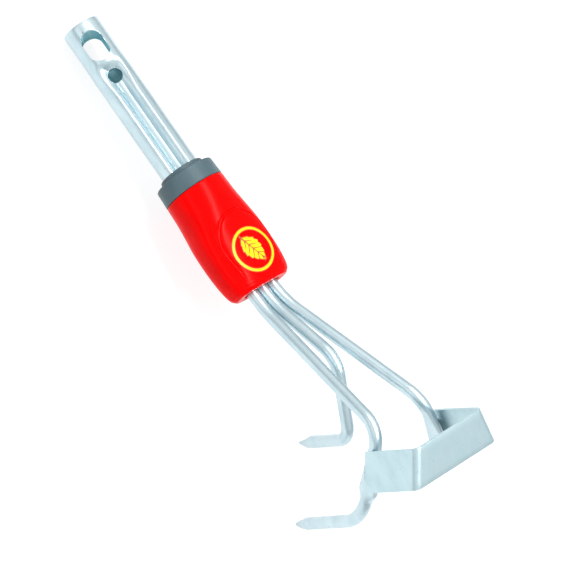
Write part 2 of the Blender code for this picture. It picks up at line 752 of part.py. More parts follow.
def build_badge(yellow, frame, parts):
    """A plain ring with a leaf in it, laid on the panel."""
    centre = SLEEVE_END - BADGE_FROM_END
    lift = 2 * GAP + PANEL_THICKNESS + 2 * GAP
    radii = (BADGE_DIAMETER / 2, BADGE_DIAMETER / 2 - BADGE_STROKE)
    count = 40
    rows = []
    for i in range(count + 1):
        angle = 2 * pi * (i % count) / count
        rows.append([on_sleeve(centre + r * cos(angle), r * sin(angle), lift)
                     for r in radii])
    ring = add_object("badge_ring", sheet_mesh("badge_ring", rows), yellow, frame, parts)
    solidify(ring, BADGE_THICKNESS, outwards=True)
    rows = []
    steps = 12
    for i in range(steps + 1):
        share = i / steps
        half = max(LEAF_WIDTH / 2 * sin(pi * share ** 0.8), 0.25 * MM)
        x = centre + LEAF_LENGTH * (share - 0.5)
        rows.append([on_sleeve(x, half * k / 2, lift) for k in (-2, -1, 0, 1, 2)])
    leaf = add_object("badge_leaf", sheet_mesh("badge_leaf", rows), yellow, frame, parts)
    solidify(leaf, BADGE_THICKNESS, outwards=True)


# --- assembly ----------------------------------------------------------------------------

def tool_points(parts):
    """Every vertex of the finished pieces, in the tool frame."""
    depsgraph = bpy.context.evaluated_depsgraph_get()
    points = []
    for obj in parts.objects:
        if obj.type == "EMPTY":
            continue
        shape = obj.evaluated_get(depsgraph)
        mesh = shape.to_mesh()
        points += [obj.matrix_world @ vert.co for vert in mesh.vertices]
        shape.to_mesh_clear()
    return points


def lay_down(frame, parts):
    """Turn the tool about Y until its tips touch the ground, and centre it there."""
    bpy.context.view_layer.update()
    points = tool_points(parts)
    heel = Vector((0.0, 0.0, -SHANK_DIAMETER / 2))
    pitch = max(atan2(heel.z - point.z, point.x) for point in points
                if point.x > SLEEVE_END)
    turn = Matrix.Rotation(-pitch, 3, "Y")
    placed = [turn @ point for point in points]
    low = Vector(min(point[axis] for point in placed) for axis in range(3))
    high = Vector(max(point[axis] for point in placed) for axis in range(3))
    frame.rotation_euler = (0.0, -pitch, 0.0)
    frame.location = (-(low.x + high.x) / 2, -(low.y + high.y) / 2, -low.z)
    bpy.context.view_layer.update()


def main():
    """Build every piece and lay the tool down."""
    for obj in list(bpy.data.objects):
        bpy.data.objects.remove(obj, do_unlink=True)
    parts = bpy.data.collections.new("hand_cultivator")
    cutters = bpy.data.collections.new("cutters")
    bpy.context.scene.collection.children.link(parts)
    bpy.context.scene.collection.children.link(cutters)
    frame = bpy.data.objects.new("tool_frame", None)
    parts.objects.link(frame)

    steel = make_material("zinc_plated_steel", (0.62, 0.68, 0.71), 0.28, 1.0)
    weld = make_material("weld_metal", (0.48, 0.52, 0.54), 0.45, 1.0)
    red = make_material("red_moulding", (0.78, 0.004, 0.004), 0.22, 0.0)
    grey = make_material("grey_moulding", (0.105, 0.13, 0.145), 0.5, 0.0)
    rubber = make_material("grey_rubber", (0.09, 0.11, 0.125), 0.6, 0.0)
    core = make_material("natural_nylon", (0.55, 0.53, 0.48), 0.5, 0.0)
    yellow = make_material("yellow_print", (0.95, 0.76, 0.02), 0.35, 0.0)

    build_shank(steel, frame, parts, cutters)
    build_rods(steel, frame, parts)
    build_blade(steel, frame, parts)
    build_welds(weld, frame, parts)
    build_sleeve(red, frame, parts, cutters)
    build_inside(core, steel, frame, parts, cutters)
    build_collar(grey, rubber, frame, parts)
    build_panel(red, frame, parts)
    build_badge(yellow, frame, parts)
    lay_down(frame, parts)


main()
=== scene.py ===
"""Looks of a hand cultivator head: three steel tines and a U-shaped hoe blade on a snap-in shank.

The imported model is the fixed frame. The pieces that show are modelled again here in fine detail, in
the tool's own axes: X runs from the shank's free end to the tines, Y is the tool's left and Z the
badge side. Each piece is then laid down in the shared frame, where the tool rests on the rim of its
shank and on its two outer tips.
"""

from __future__ import annotations

import json
import logging
from collections.abc import Callable, Sequence
from dataclasses import dataclass, field
from enum import Enum
from math import asin, atan2, cos, hypot, pi, radians, sin, sqrt

import bmesh
import bpy
from mathutils import Matrix, Vector

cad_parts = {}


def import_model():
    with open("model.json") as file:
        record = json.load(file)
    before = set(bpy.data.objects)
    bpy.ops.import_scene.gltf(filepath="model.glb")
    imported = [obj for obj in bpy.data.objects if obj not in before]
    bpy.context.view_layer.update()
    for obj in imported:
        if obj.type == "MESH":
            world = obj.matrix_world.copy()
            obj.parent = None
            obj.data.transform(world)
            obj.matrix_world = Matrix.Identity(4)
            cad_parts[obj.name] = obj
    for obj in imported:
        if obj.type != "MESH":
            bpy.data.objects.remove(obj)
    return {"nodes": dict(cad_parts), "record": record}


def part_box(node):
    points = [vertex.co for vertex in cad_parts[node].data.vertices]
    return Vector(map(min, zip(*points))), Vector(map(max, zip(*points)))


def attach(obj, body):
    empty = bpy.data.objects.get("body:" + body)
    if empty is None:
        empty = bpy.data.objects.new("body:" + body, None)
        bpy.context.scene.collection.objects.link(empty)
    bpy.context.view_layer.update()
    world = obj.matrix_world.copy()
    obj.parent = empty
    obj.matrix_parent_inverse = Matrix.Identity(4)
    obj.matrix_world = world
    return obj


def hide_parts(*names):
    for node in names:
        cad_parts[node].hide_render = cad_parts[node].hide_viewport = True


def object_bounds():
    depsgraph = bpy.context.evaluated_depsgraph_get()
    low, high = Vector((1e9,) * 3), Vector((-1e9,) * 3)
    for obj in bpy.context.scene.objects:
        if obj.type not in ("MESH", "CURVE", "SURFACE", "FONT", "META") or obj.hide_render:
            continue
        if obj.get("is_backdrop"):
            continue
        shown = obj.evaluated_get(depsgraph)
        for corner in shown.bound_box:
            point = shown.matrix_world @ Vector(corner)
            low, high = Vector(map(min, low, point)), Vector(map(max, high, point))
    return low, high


LOG = logging.getLogger("hand_cultivator")
MM = 0.001
GAP = 0.3 * MM
BODY = "root"

Ring = list[Vector]
Grain = tuple[tuple[float, float, float], float]
Socket = bpy.types.NodeSocket
Object = bpy.types.Object


class Slot(Enum):
    """The record's material slots."""

    STEEL = "steel"
    WELD = "weld"
    RED = "red_moulding"
    GREY = "grey_moulding"
    RUBBER = "rubber"
    NYLON = "nylon"
    YELLOW = "yellow_print"


class Side(Enum):
    """The two sides of the tool, as the sign of Y."""

    LEFT = 1
    RIGHT = -1


class Ends(Enum):
    """What is done with the two ends of a skin drawn ring by ring."""

    OPEN = "open"
    CAPPED = "capped"
    JOINED = "joined"


# --- numbers and sections ------------------------------------------------------------------------


def mix(first: float, second: float, share: float) -> float:
    """The value that lies the given share of the way from first to second."""
    return first + (second - first) * share


def smoothstep(value: float) -> float:
    """Ease from 0 to 1 as value goes from 0 to 1."""
    value = min(max(value, 0.0), 1.0)
    return value * value * (3.0 - 2.0 * value)


def steps(start: float, end: float, count: int) -> list[float]:
    """Evenly spaced values from start to end, both included."""
    return [mix(start, end, i / count) for i in range(count + 1)]


def turn(count: int) -> list[float]:
    """The angles of a ring's points, once round."""
    return [2 * pi * i / count for i in range(count)]


def stadium_radius(angle: float, width: float, height: float) -> float:
    """Radius of a flat-sided oval in the direction of an angle."""
    end_radius = height / 2
    centre = (width - height) / 2
    across, up = abs(cos(angle)), abs(sin(angle))
    if up * centre > across * end_radius:
        return end_radius / up
    return centre * across + sqrt(end_radius**2 - (centre * up) ** 2)


def side_vector(angle: float) -> Vector:
    """Unit vector at an angle above forward, in the tool's middle plane."""
    return Vector((cos(angle), 0.0, sin(angle)))


def smooth_between(rows: Sequence[tuple[float, ...]], place: float) -> list[float]:
    """Read a table of stations at one place, on a smooth curve through them.

    Args:
        rows: Stations in order, each a place followed by its values.
        place: Where to read, held within the first and last place.

    Returns:
        The values at that place.
    """
    place = min(max(place, rows[0][0]), rows[-1][0])
    index = 0
    while index < len(rows) - 2 and place > rows[index + 1][0]:
        index += 1
    low, high = rows[index], rows[index + 1]
    before, after = rows[max(index - 1, 0)], rows[min(index + 2, len(rows) - 1)]
    span = high[0] - low[0]
    share = (place - low[0]) / span
    values = []
    for k in range(1, len(low)):
        slope_low = (high[k] - before[k]) / (high[0] - before[0]) * span
        slope_high = (after[k] - low[k]) / (after[0] - low[0]) * span
        cube, square = share**3, share**2
        values.append(
            (2 * cube - 3 * square + 1) * low[k]
            + (cube - 2 * square + share) * slope_low
            + (3 * square - 2 * cube) * high[k]
            + (cube - square) * slope_high
        )
    return values


# --- the tool's axes -----------------------------------------------------------------------------


@dataclass(frozen=True)
class ToolAxes:
    """How the tool lies in the shared frame: the centre of its free end, and its pitch."""

    origin: Vector
    pitch: float

    @classmethod
    def measure(cls, record: dict, rim_radius: float) -> "ToolAxes":
        """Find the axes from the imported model.

        Args:
            record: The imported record, whose first mount looks out of the free end.
            rim_radius: Outside radius of the shank's free end.

        Returns:
            The axes of the tool as it lies.
        """
        out = next(m for m in record["mounts"] if m["name"] == "shank_end")["axis"]
        pitch = asin(-out[2] / hypot(*out))
        low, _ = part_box("shank_tube")
        origin = Vector((low.x + rim_radius * sin(pitch), 0.0, low.z + rim_radius * cos(pitch)))
        return cls(origin, pitch)

    @property
    def matrix(self) -> Matrix:
        """Takes a point in the tool's axes to the shared frame."""
        return Matrix.Translation(self.origin) @ Matrix.Rotation(-self.pitch, 4, "Y")

    def grain(self, tree: bpy.types.NodeTree, size: tuple[float, float, float]) -> Socket:
        """Pattern coordinates that count grains along the tool, across it and up.

        Args:
            tree: The material's nodes.
            size: Length of one grain along X, Y and Z of the tool, in metres.

        Returns:
            The socket to feed to a texture of scale 1.
        """
        where = add_node(tree, "ShaderNodeTexCoord")
        settings = {
            "Vector": where.outputs["Object"],
            "Location": self.origin,
            "Rotation": (0.0, -self.pitch, 0.0),
            "Scale": size,
        }
        return add_node(tree, "ShaderNodeMapping", settings, vector_type="TEXTURE").outputs[0]


# --- modelling bench -----------------------------------------------------------------------------


class Bench:
    """The modelling moves that the pieces share, done with Blender's own operators."""

    @staticmethod
    def clear() -> None:
        """Deselect every object."""
        bpy.ops.object.select_all(action="DESELECT")

    @staticmethod
    def hold(obj: Object) -> Object:
        """Make one object the only selected and active one."""
        Bench.clear()
        obj.select_set(True)
        bpy.context.view_layer.objects.active = obj
        return obj

    @staticmethod
    def named(name: str) -> Object:
        """Name the object that a primitive has just added."""
        obj = bpy.context.object
        obj.name = obj.data.name = name
        return obj

    @staticmethod
    def set_ring(obj: Object, ring: Sequence[Vector]) -> None:
        """Move the selected points onto a ring, each to its own place in it."""
        shape = bmesh.from_edit_mesh(obj.data)
        order = shape.verts.layers.int["order"]
        for vert in shape.verts:
            if vert.select:
                vert.co = ring[vert[order]]
        bmesh.update_edit_mesh(obj.data)

    @staticmethod
    def skin(name: str, rings: Sequence[Sequence[Vector]], ends: Ends = Ends.CAPPED) -> Object:
        """Draw a tube ring by ring: add a circle, extrude it and set it on the next section.

        Args:
            name: The piece's name.
            rings: Rings of equal length, in order.
            ends: Whether the two ends stay open, are capped, or join each other.

        Returns:
            The new object, with its faces pointing outwards.
        """
        Bench.clear()
        count = len(rings[0])
        bpy.ops.mesh.primitive_circle_add(vertices=count, radius=0.01, fill_type="NOTHING")
        obj = Bench.named(name)
        order = obj.data.attributes.new("order", "INT", "POINT")
        order.data.foreach_set("value", list(range(count)))
        bpy.ops.object.mode_set(mode="EDIT")
        bpy.ops.mesh.select_mode(type="VERT")
        bpy.ops.mesh.select_all(action="SELECT")
        Bench.set_ring(obj, rings[0])
        for ring in rings[1:]:
            bpy.ops.mesh.extrude_region()
            Bench.set_ring(obj, ring)
        if ends is Ends.JOINED:
            bpy.ops.mesh.extrude_region()
            Bench.set_ring(obj, rings[0])
        bpy.ops.mesh.select_all(action="SELECT")
        bpy.ops.mesh.remove_doubles(threshold=0.0005 * MM)
        if ends is Ends.CAPPED:
            bpy.ops.mesh.select_all(action="SELECT")
            bpy.ops.mesh.fill_holes(sides=0)
            bpy.ops.mesh.select_all(action="SELECT")
        bpy.ops.mesh.normals_make_consistent(inside=False)
        bpy.ops.object.mode_set(mode="OBJECT")
        obj.data.attributes.remove(obj.data.attributes["order"])
        return obj

    @staticmethod
    def sheet(name: str, rows: Sequence[Sequence[Vector]]) -> Object:
        """Lay a grid out and set its points on equal rows of places."""
        Bench.clear()
        across, along = len(rows[0]) - 1, len(rows) - 1
        bpy.ops.mesh.primitive_grid_add(x_subdivisions=across, y_subdivisions=along, size=0.01)
        obj = Bench.named(name)
        places = [point for row in rows for point in row]
        for vert, place in zip(obj.data.vertices, places):
            vert.co = place
        obj.data.update()
        return obj

    @staticmethod
    def spun(name: str, profile: Sequence[tuple[float, float]], count: int) -> Object:
        """Spin a closed profile of (x, radius) corners once round the tool's axis.

        Args:
            name: The piece's name.
            profile: Corners of the section, in order round it.
            count: How many faces go round.

        Returns:
            The turned piece.
        """
        Bench.clear()
        bpy.ops.mesh.primitive_circle_add(vertices=len(profile), radius=0.01, fill_type="NOTHING")
        obj = Bench.named(name)
        for vert, (x, radius) in zip(obj.data.vertices, profile):
            vert.co = (x, 0.0, radius)
        bpy.ops.object.mode_set(mode="EDIT")
        bpy.ops.mesh.select_all(action="SELECT")
        bpy.ops.mesh.spin(steps=count, angle=2 * pi, center=(0, 0, 0), axis=(1, 0, 0))
        bpy.ops.mesh.select_all(action="SELECT")
        bpy.ops.mesh.remove_doubles(threshold=0.002 * MM)
        bpy.ops.mesh.normals_make_consistent(inside=False)
        bpy.ops.object.mode_set(mode="OBJECT")
        return obj

    @staticmethod
    def modify(obj: Object, kind: str, **settings: object) -> None:
        """Put one modifier on a piece and apply it."""
        Bench.hold(obj)
        modifier = obj.modifiers.new(kind.lower(), kind)
        for name, value in settings.items():
            setattr(modifier, name, value)
        bpy.ops.object.modifier_apply(modifier=modifier.name)

    @staticmethod
    def cut(obj: Object, cutter: Object) -> None:
        """Take a cutter's shape out of a piece and throw the cutter away."""
        Bench.modify(obj, "BOOLEAN", object=cutter, operation="DIFFERENCE", solver="EXACT")
        bpy.data.objects.remove(cutter, do_unlink=True)

    @staticmethod
    def drill(name: str, diameter: float, length: float, low: float, high: float) -> Object:
        """A rounded-slot cutter along Z, stretched along X from a cylinder."""
        Bench.clear()
        bpy.ops.mesh.primitive_cylinder_add(vertices=72, radius=diameter / 2, depth=high - low)
        obj = Bench.named(name)
        obj.data.transform(Matrix.Translation((0.0, 0.0, (low + high) / 2)))
        stretch = (length - diameter) / 2
        for way in (1, -1):
            bpy.ops.object.mode_set(mode="EDIT")
            bpy.ops.mesh.select_all(action="DESELECT")
            bpy.ops.object.mode_set(mode="OBJECT")
            for vert in obj.data.vertices:
                vert.select = vert.co.x * way > 0.01 * MM
            bpy.ops.object.mode_set(mode="EDIT")
            bpy.ops.transform.translate(value=(stretch * way, 0.0, 0.0))
            bpy.ops.object.mode_set(mode="OBJECT")
        return obj

    @staticmethod
    def join(pieces: Sequence[Object]) -> Object:
        """Join several pieces into the first."""
        Bench.clear()
        for piece in pieces:
            piece.select_set(True)
        bpy.context.view_layer.objects.active = pieces[0]
        bpy.ops.object.join()
        return pieces[0]

    @staticmethod
    def lay(
        obj: Object,
        axes: ToolAxes,
        slot: Slot,
        finishes: Sequence["Finish"],
        stands_for: Sequence[str] = (),
        crease: float = 32.0,
    ) -> Object:
        """Lay a finished piece down in the shared frame, dress it and hang it on the tool.

        Args:
            obj: The piece, modelled in the tool's axes.
            axes: How the tool lies.
            slot: The record's slot that its main finish stands in; not used.
            finishes: Its finishes, the main one first.
            stands_for: The CAD nodes that it replaces.
            crease: Edges sharper than this many degrees stay sharp.

        Returns:
            The same piece.
        """
        obj.data.transform(axes.matrix)
        Bench.hold(obj)
        bpy.ops.object.shade_smooth_by_angle(angle=radians(crease))
        marks = [face.material_index for face in obj.data.polygons]
        obj.data.materials.clear()
        for finish in finishes:
            obj.data.materials.append(finish.material())
        obj.data.polygons.foreach_set("material_index", marks)
        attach(obj, BODY)
        if stands_for:
            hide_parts(*stands_for)
        LOG.info("%s: %d faces", obj.name, len(obj.data.polygons))
        return obj


# --- finishes ------------------------------------------------------------------------------------


def linear(hex_colour: str) -> tuple[float, float, float, float]:
    """Turn an sRGB hex colour into linear red, green, blue and alpha."""
    channels = [int(hex_colour[i : i + 2], 16) / 255 for i in (1, 3, 5)]
    red, green, blue = (
        c / 12.92 if c <= 0.04045 else ((c + 0.055) / 1.055) ** 2.4 for c in channels
    )
    return (red, green, blue, 1.0)


def add_node(
    tree: bpy.types.NodeTree, kind: str, inputs: dict | None = None, **settings: object
) -> bpy.types.Node:
    """Add one node with its settings and links.

    Args:
        tree: The node tree it goes in.
        kind: Blender's name for the kind of node.
        inputs: Input name or number, and the socket to link or the value to set.
        **settings: The node's own properties.

    Returns:
        The node.
    """
    node = tree.nodes.new(kind)
    for name, value in settings.items():
        setattr(node, name, value)
    for name, value in (inputs or {}).items():
        if isinstance(value, bpy.types.NodeSocket):
            tree.links.new(value, node.inputs[name])
        else:
            node.inputs[name].default_value = value
    return node


@dataclass(frozen=True)
class Finish:
    """One real surface: how it was made, and the nodes that give it its look."""

    axes: ToolAxes
    name: str = "finish"

    def material(self) -> bpy.types.Material:
        """The Blender material, made the first time that it is asked for."""
        made = bpy.data.materials.get(self.name)
        if made is None:
            made = bpy.data.materials.new(self.name)
            made.use_nodes = True
            tree = made.node_tree
            tree.nodes.clear()
            shader = add_node(tree, "ShaderNodeBsdfPrincipled")
            add_node(tree, "ShaderNodeOutputMaterial", {"Surface": shader.outputs["BSDF"]})
            self.paint(tree, shader)
        return made

    def paint(self, tree: bpy.types.NodeTree, shader: bpy.types.Node) -> None:
        """Set the shader up and link its patterns to it."""
        raise NotImplementedError

    def patterns(self, tree: bpy.types.NodeTree, grains: Sequence[Grain]) -> list[Socket]:
        """Lay cloudy patterns along the tool.

        Args:
            tree: The material's nodes.
            grains: For each pattern, the length, breadth and height of a grain, and its detail.

        Returns:
            The strength of each pattern.
        """
        return [
            add_node(
                tree,
                "ShaderNodeTexNoise",
                {"Vector": self.axes.grain(tree, size), "Scale": 1.0, "Detail": detail},
            ).outputs[0]
            for size, detail in grains
        ]

    def two_tone(
        self,
        tree: bpy.types.NodeTree,
        pattern: Socket,
        limits: tuple[float, float],
        colours: tuple[object, object],
        most: float = 1.0,
    ) -> Socket:
        """Go over from one colour to another where a pattern grows strong.

        Args:
            tree: The material's nodes.
            pattern: The pattern's strength.
            limits: The strengths at which the change starts and is complete.
            colours: The two colours, or the sockets that they come from.
            most: How far the change goes.

        Returns:
            The mixed colour.
        """
        low, high = limits
        share = add_node(
            tree,
            "ShaderNodeMapRange",
            {"Value": pattern, "From Min": low, "From Max": high, "To Max": most},
        )
        inputs = {0: share.outputs[0], 6: colours[0], 7: colours[1]}
        return add_node(tree, "ShaderNodeMix", inputs, data_type="RGBA").outputs[2]

    def wear(
        self,
        tree: bpy.types.NodeTree,
        pattern: Socket,
        limits: tuple[float, float],
        roughness: tuple[float, float],
    ) -> Socket:
        """Roughness that goes from smooth to dull as a pattern grows strong.

        Args:
            tree: The material's nodes.
            pattern: The pattern's strength.
            limits: The strengths at which the surface is smoothest and dullest.
            roughness: Its roughness there.

        Returns:
            The roughness.
        """
        settings = {
            "Value": pattern,
            "From Min": limits[0],
            "From Max": limits[1],
            "To Min": roughness[0],
            "To Max": roughness[1],
        }
        return add_node(tree, "ShaderNodeMapRange", settings).outputs[0]

    def coat(
        self, tree: bpy.types.NodeTree, shader: bpy.types.Node, layers: dict[str, Socket]
    ) -> None:
        """Link the finished colour, roughness and relief to the shader."""
        for name, socket in layers.items():
            tree.links.new(socket, shader.inputs[name])


@dataclass(frozen=True)
class ZincPlate(Finish):
    """Bright zinc plate on drawn tube, rod and strip: a clear, slightly blue half mirror.

    Drawing leaves fine lines along the steel, 0.1 to 0.3 mm apart. They are drawn 0.8 mm apart, as
    coarse as they need to be to show. The plate itself clouds in patches 9 to 18 mm across, and
    handling leaves small dull marks.
    """

    name: str = "bright_zinc_plate"
    clear: str = "#C6D8DE"
    cloudy: str = "#BACED5"
    mark: str = "#7E9299"
    smooth: float = 0.30
    dull: float = 0.38

    def paint(self, tree: bpy.types.NodeTree, shader: bpy.types.Node) -> None:
        """Cloud the colour, draw the lines and scatter the marks."""
        clouds, lines, marks = self.patterns(
            tree,
            (
                ((18 * MM, 9 * MM, 9 * MM), 4.0),
                ((45 * MM, 0.8 * MM, 0.8 * MM), 2.0),
                ((2.6 * MM, 1.3 * MM, 1.3 * MM), 1.0),
            ),
        )
        tones = (linear(self.clear), linear(self.cloudy))
        plate = self.two_tone(tree, clouds, (0.38, 0.66), tones)
        colour = self.two_tone(tree, marks, (0.73, 0.80), (plate, linear(self.mark)), 0.8)
        worn = add_node(tree, "ShaderNodeMath", {0: clouds, 1: lines}, operation="MULTIPLY")
        relief = add_node(
            tree, "ShaderNodeBump", {"Strength": 0.1, "Distance": 0.02 * MM, "Height": lines}
        )
        ripple = add_node(
            tree,
            "ShaderNodeBump",
            {
                "Strength": 0.15,
                "Distance": 0.08 * MM,
                "Height": clouds,
                "Normal": relief.outputs[0],
            },
        )
        shader.inputs["Metallic"].default_value = 1.0
        layers = {
            "Base Color": colour,
            "Roughness": self.wear(tree, worn.outputs[0], (0.12, 0.40), (self.smooth, self.dull)),
            "Normal": ripple.outputs[0],
        }
        self.coat(tree, shader, layers)


@dataclass(frozen=True)
class WeldMetal(Finish):
    """Zinc-plated weld metal: duller than the rod, with scale and ripples about 1 mm apart."""

    name: str = "plated_weld_metal"
    bright: str = "#A9B8BF"
    scale: str = "#55646A"
    smooth: float = 0.3
    dull: float = 0.6

    def paint(self, tree: bpy.types.NodeTree, shader: bpy.types.Node) -> None:
        """Spot the bead with scale and roughen it."""
        (spots,) = self.patterns(tree, [((1.6 * MM,) * 3, 4.0)])
        relief = add_node(
            tree, "ShaderNodeBump", {"Strength": 0.6, "Distance": 0.15 * MM, "Height": spots}
        )
        shader.inputs["Metallic"].default_value = 1.0
        tones = (linear(self.bright), linear(self.scale))
        layers = {
            "Base Color": self.two_tone(tree, spots, (0.42, 0.62), tones),
            "Roughness": self.wear(tree, spots, (0.3, 0.7), (self.smooth, self.dull)),
            "Normal": relief.outputs[0],
        }
        self.coat(tree, shader, layers)


@dataclass(frozen=True)
class Moulding(Finish):
    """A moulded surface: a colour with slow drifts in it, and the skin that the mould left.

    The drifts are flow marks some 20 mm long. The skin is the mould's texture, or on a polished
    mould the faint waviness of the cooled plastic.
    """

    name: str = "moulding"
    light: str = "#FFFFFF"
    deep: str = "#FFFFFF"
    smooth: float = 0.2
    dull: float = 0.3
    skin: float = 1.0 * MM
    skin_depth: float = 0.02 * MM
    skin_strength: float = 0.3
    ior: float = 1.5
    gloss: float = 0.5

    def paint(self, tree: bpy.types.NodeTree, shader: bpy.types.Node) -> None:
        """Let the colour drift, and give the skin its roughness and relief."""
        grains = (((22 * MM, 11 * MM, 11 * MM), 3.0), ((self.skin,) * 3, 3.0))
        drift, skin = self.patterns(tree, grains)
        worn = add_node(tree, "ShaderNodeMath", {0: drift, 1: skin}, operation="MULTIPLY")
        relief = add_node(
            tree,
            "ShaderNodeBump",
            {"Strength": self.skin_strength, "Distance": self.skin_depth, "Height": skin},
        )
        shader.inputs["IOR"].default_value = self.ior
        shader.inputs["Specular IOR Level"].default_value = self.gloss
        tones = (linear(self.light), linear(self.deep))
        layers = {
            "Base Color": self.two_tone(tree, drift, (0.35, 0.65), tones),
            "Roughness": self.wear(tree, worn.outputs[0], (0.12, 0.40), (self.smooth, self.dull)),
            "Normal": relief.outputs[0],
        }
        self.coat(tree, shader, layers)


@dataclass(frozen=True)
class FinishSet:
    """Every finish on the tool."""

    plate: ZincPlate
    strip: ZincPlate
    bore: ZincPlate
    weld: WeldMetal
    red: Moulding
    grey: Moulding
    rubber: Moulding
    nylon: Moulding
    yellow: Moulding
    outline: Moulding

    @classmethod
    def for_tool(cls, axes: ToolAxes) -> "FinishSet":
        """Choose the finishes, with their patterns laid along the tool."""
        return cls(
            plate=ZincPlate(axes),
            # Rolled strip under the same plate: its finer tooth makes the reflections softer.
            strip=ZincPlate(axes, "satin_zinc_strip", "#BED4DA", "#B6CED4", "#8AA1A8", 0.36, 0.48),
            # Painted shade: a darker, duller copy of the plate for the inside of the tube, standing
            # in for the shade in there.
            bore=ZincPlate(axes, "bore_painted_shade", "#93C0C8", "#82B1BB", "#5C8A94", 0.40, 0.55),
            weld=WeldMetal(axes),
            # Glossy ABS from a polished mould: saturated, with soft broad reflections.
            red=Moulding(
                axes,
                "gloss_red_abs",
                light="#E40000",
                deep="#D80000",
                smooth=0.20,
                dull=0.29,
                skin=3.2 * MM,
                skin_depth=0.02 * MM,
                skin_strength=0.2,
                ior=1.38,
                gloss=0.08,
            ),
            # Glass-filled nylon from a spark-eroded mould: satin, its grain drawn at 0.7 mm.
            grey=Moulding(
                axes,
                "satin_slate_nylon",
                light="#485D64",
                deep="#41545B",
                smooth=0.38,
                dull=0.52,
                skin=0.7 * MM,
                skin_depth=0.03 * MM,
                skin_strength=0.4,
                gloss=0.35,
            ),
            # Soft moulded elastomer: darker and duller than the collar, with a dusty skin.
            rubber=Moulding(
                axes,
                "soft_slate_elastomer",
                light="#4D6269",
                deep="#42565D",
                smooth=0.5,
                dull=0.68,
                skin=1.1 * MM,
                skin_depth=0.04 * MM,
                skin_strength=0.4,
            ),
            # Natural nylon, hidden inside the sleeve: waxy and off-white.
            nylon=Moulding(
                axes, "natural_nylon", "#D8D2C0", "#C6BFAA", 0.4, 0.55, 1.5 * MM, 0.02 * MM, 0.3
            ),
            # Pad-printed gloss ink: opaque, with the faint orange peel of a thick film.
            yellow=Moulding(
                axes,
                "yellow_pad_print",
                light="#FFCE0A",
                deep="#F8C205",
                smooth=0.26,
                dull=0.40,
                skin=1.2 * MM,
                skin_depth=0.02 * MM,
                skin_strength=0.35,
                gloss=0.25,
            ),
            # The ink's thin edge, where red shows through it.
            outline=Moulding(
                axes, "amber_ink_edge", "#B05A00", "#984400", 0.35, 0.50, 1.0 * MM, 0.02 * MM, 0.3
            ),
        )


# --- shank ---------------------------------------------------------------------------------------


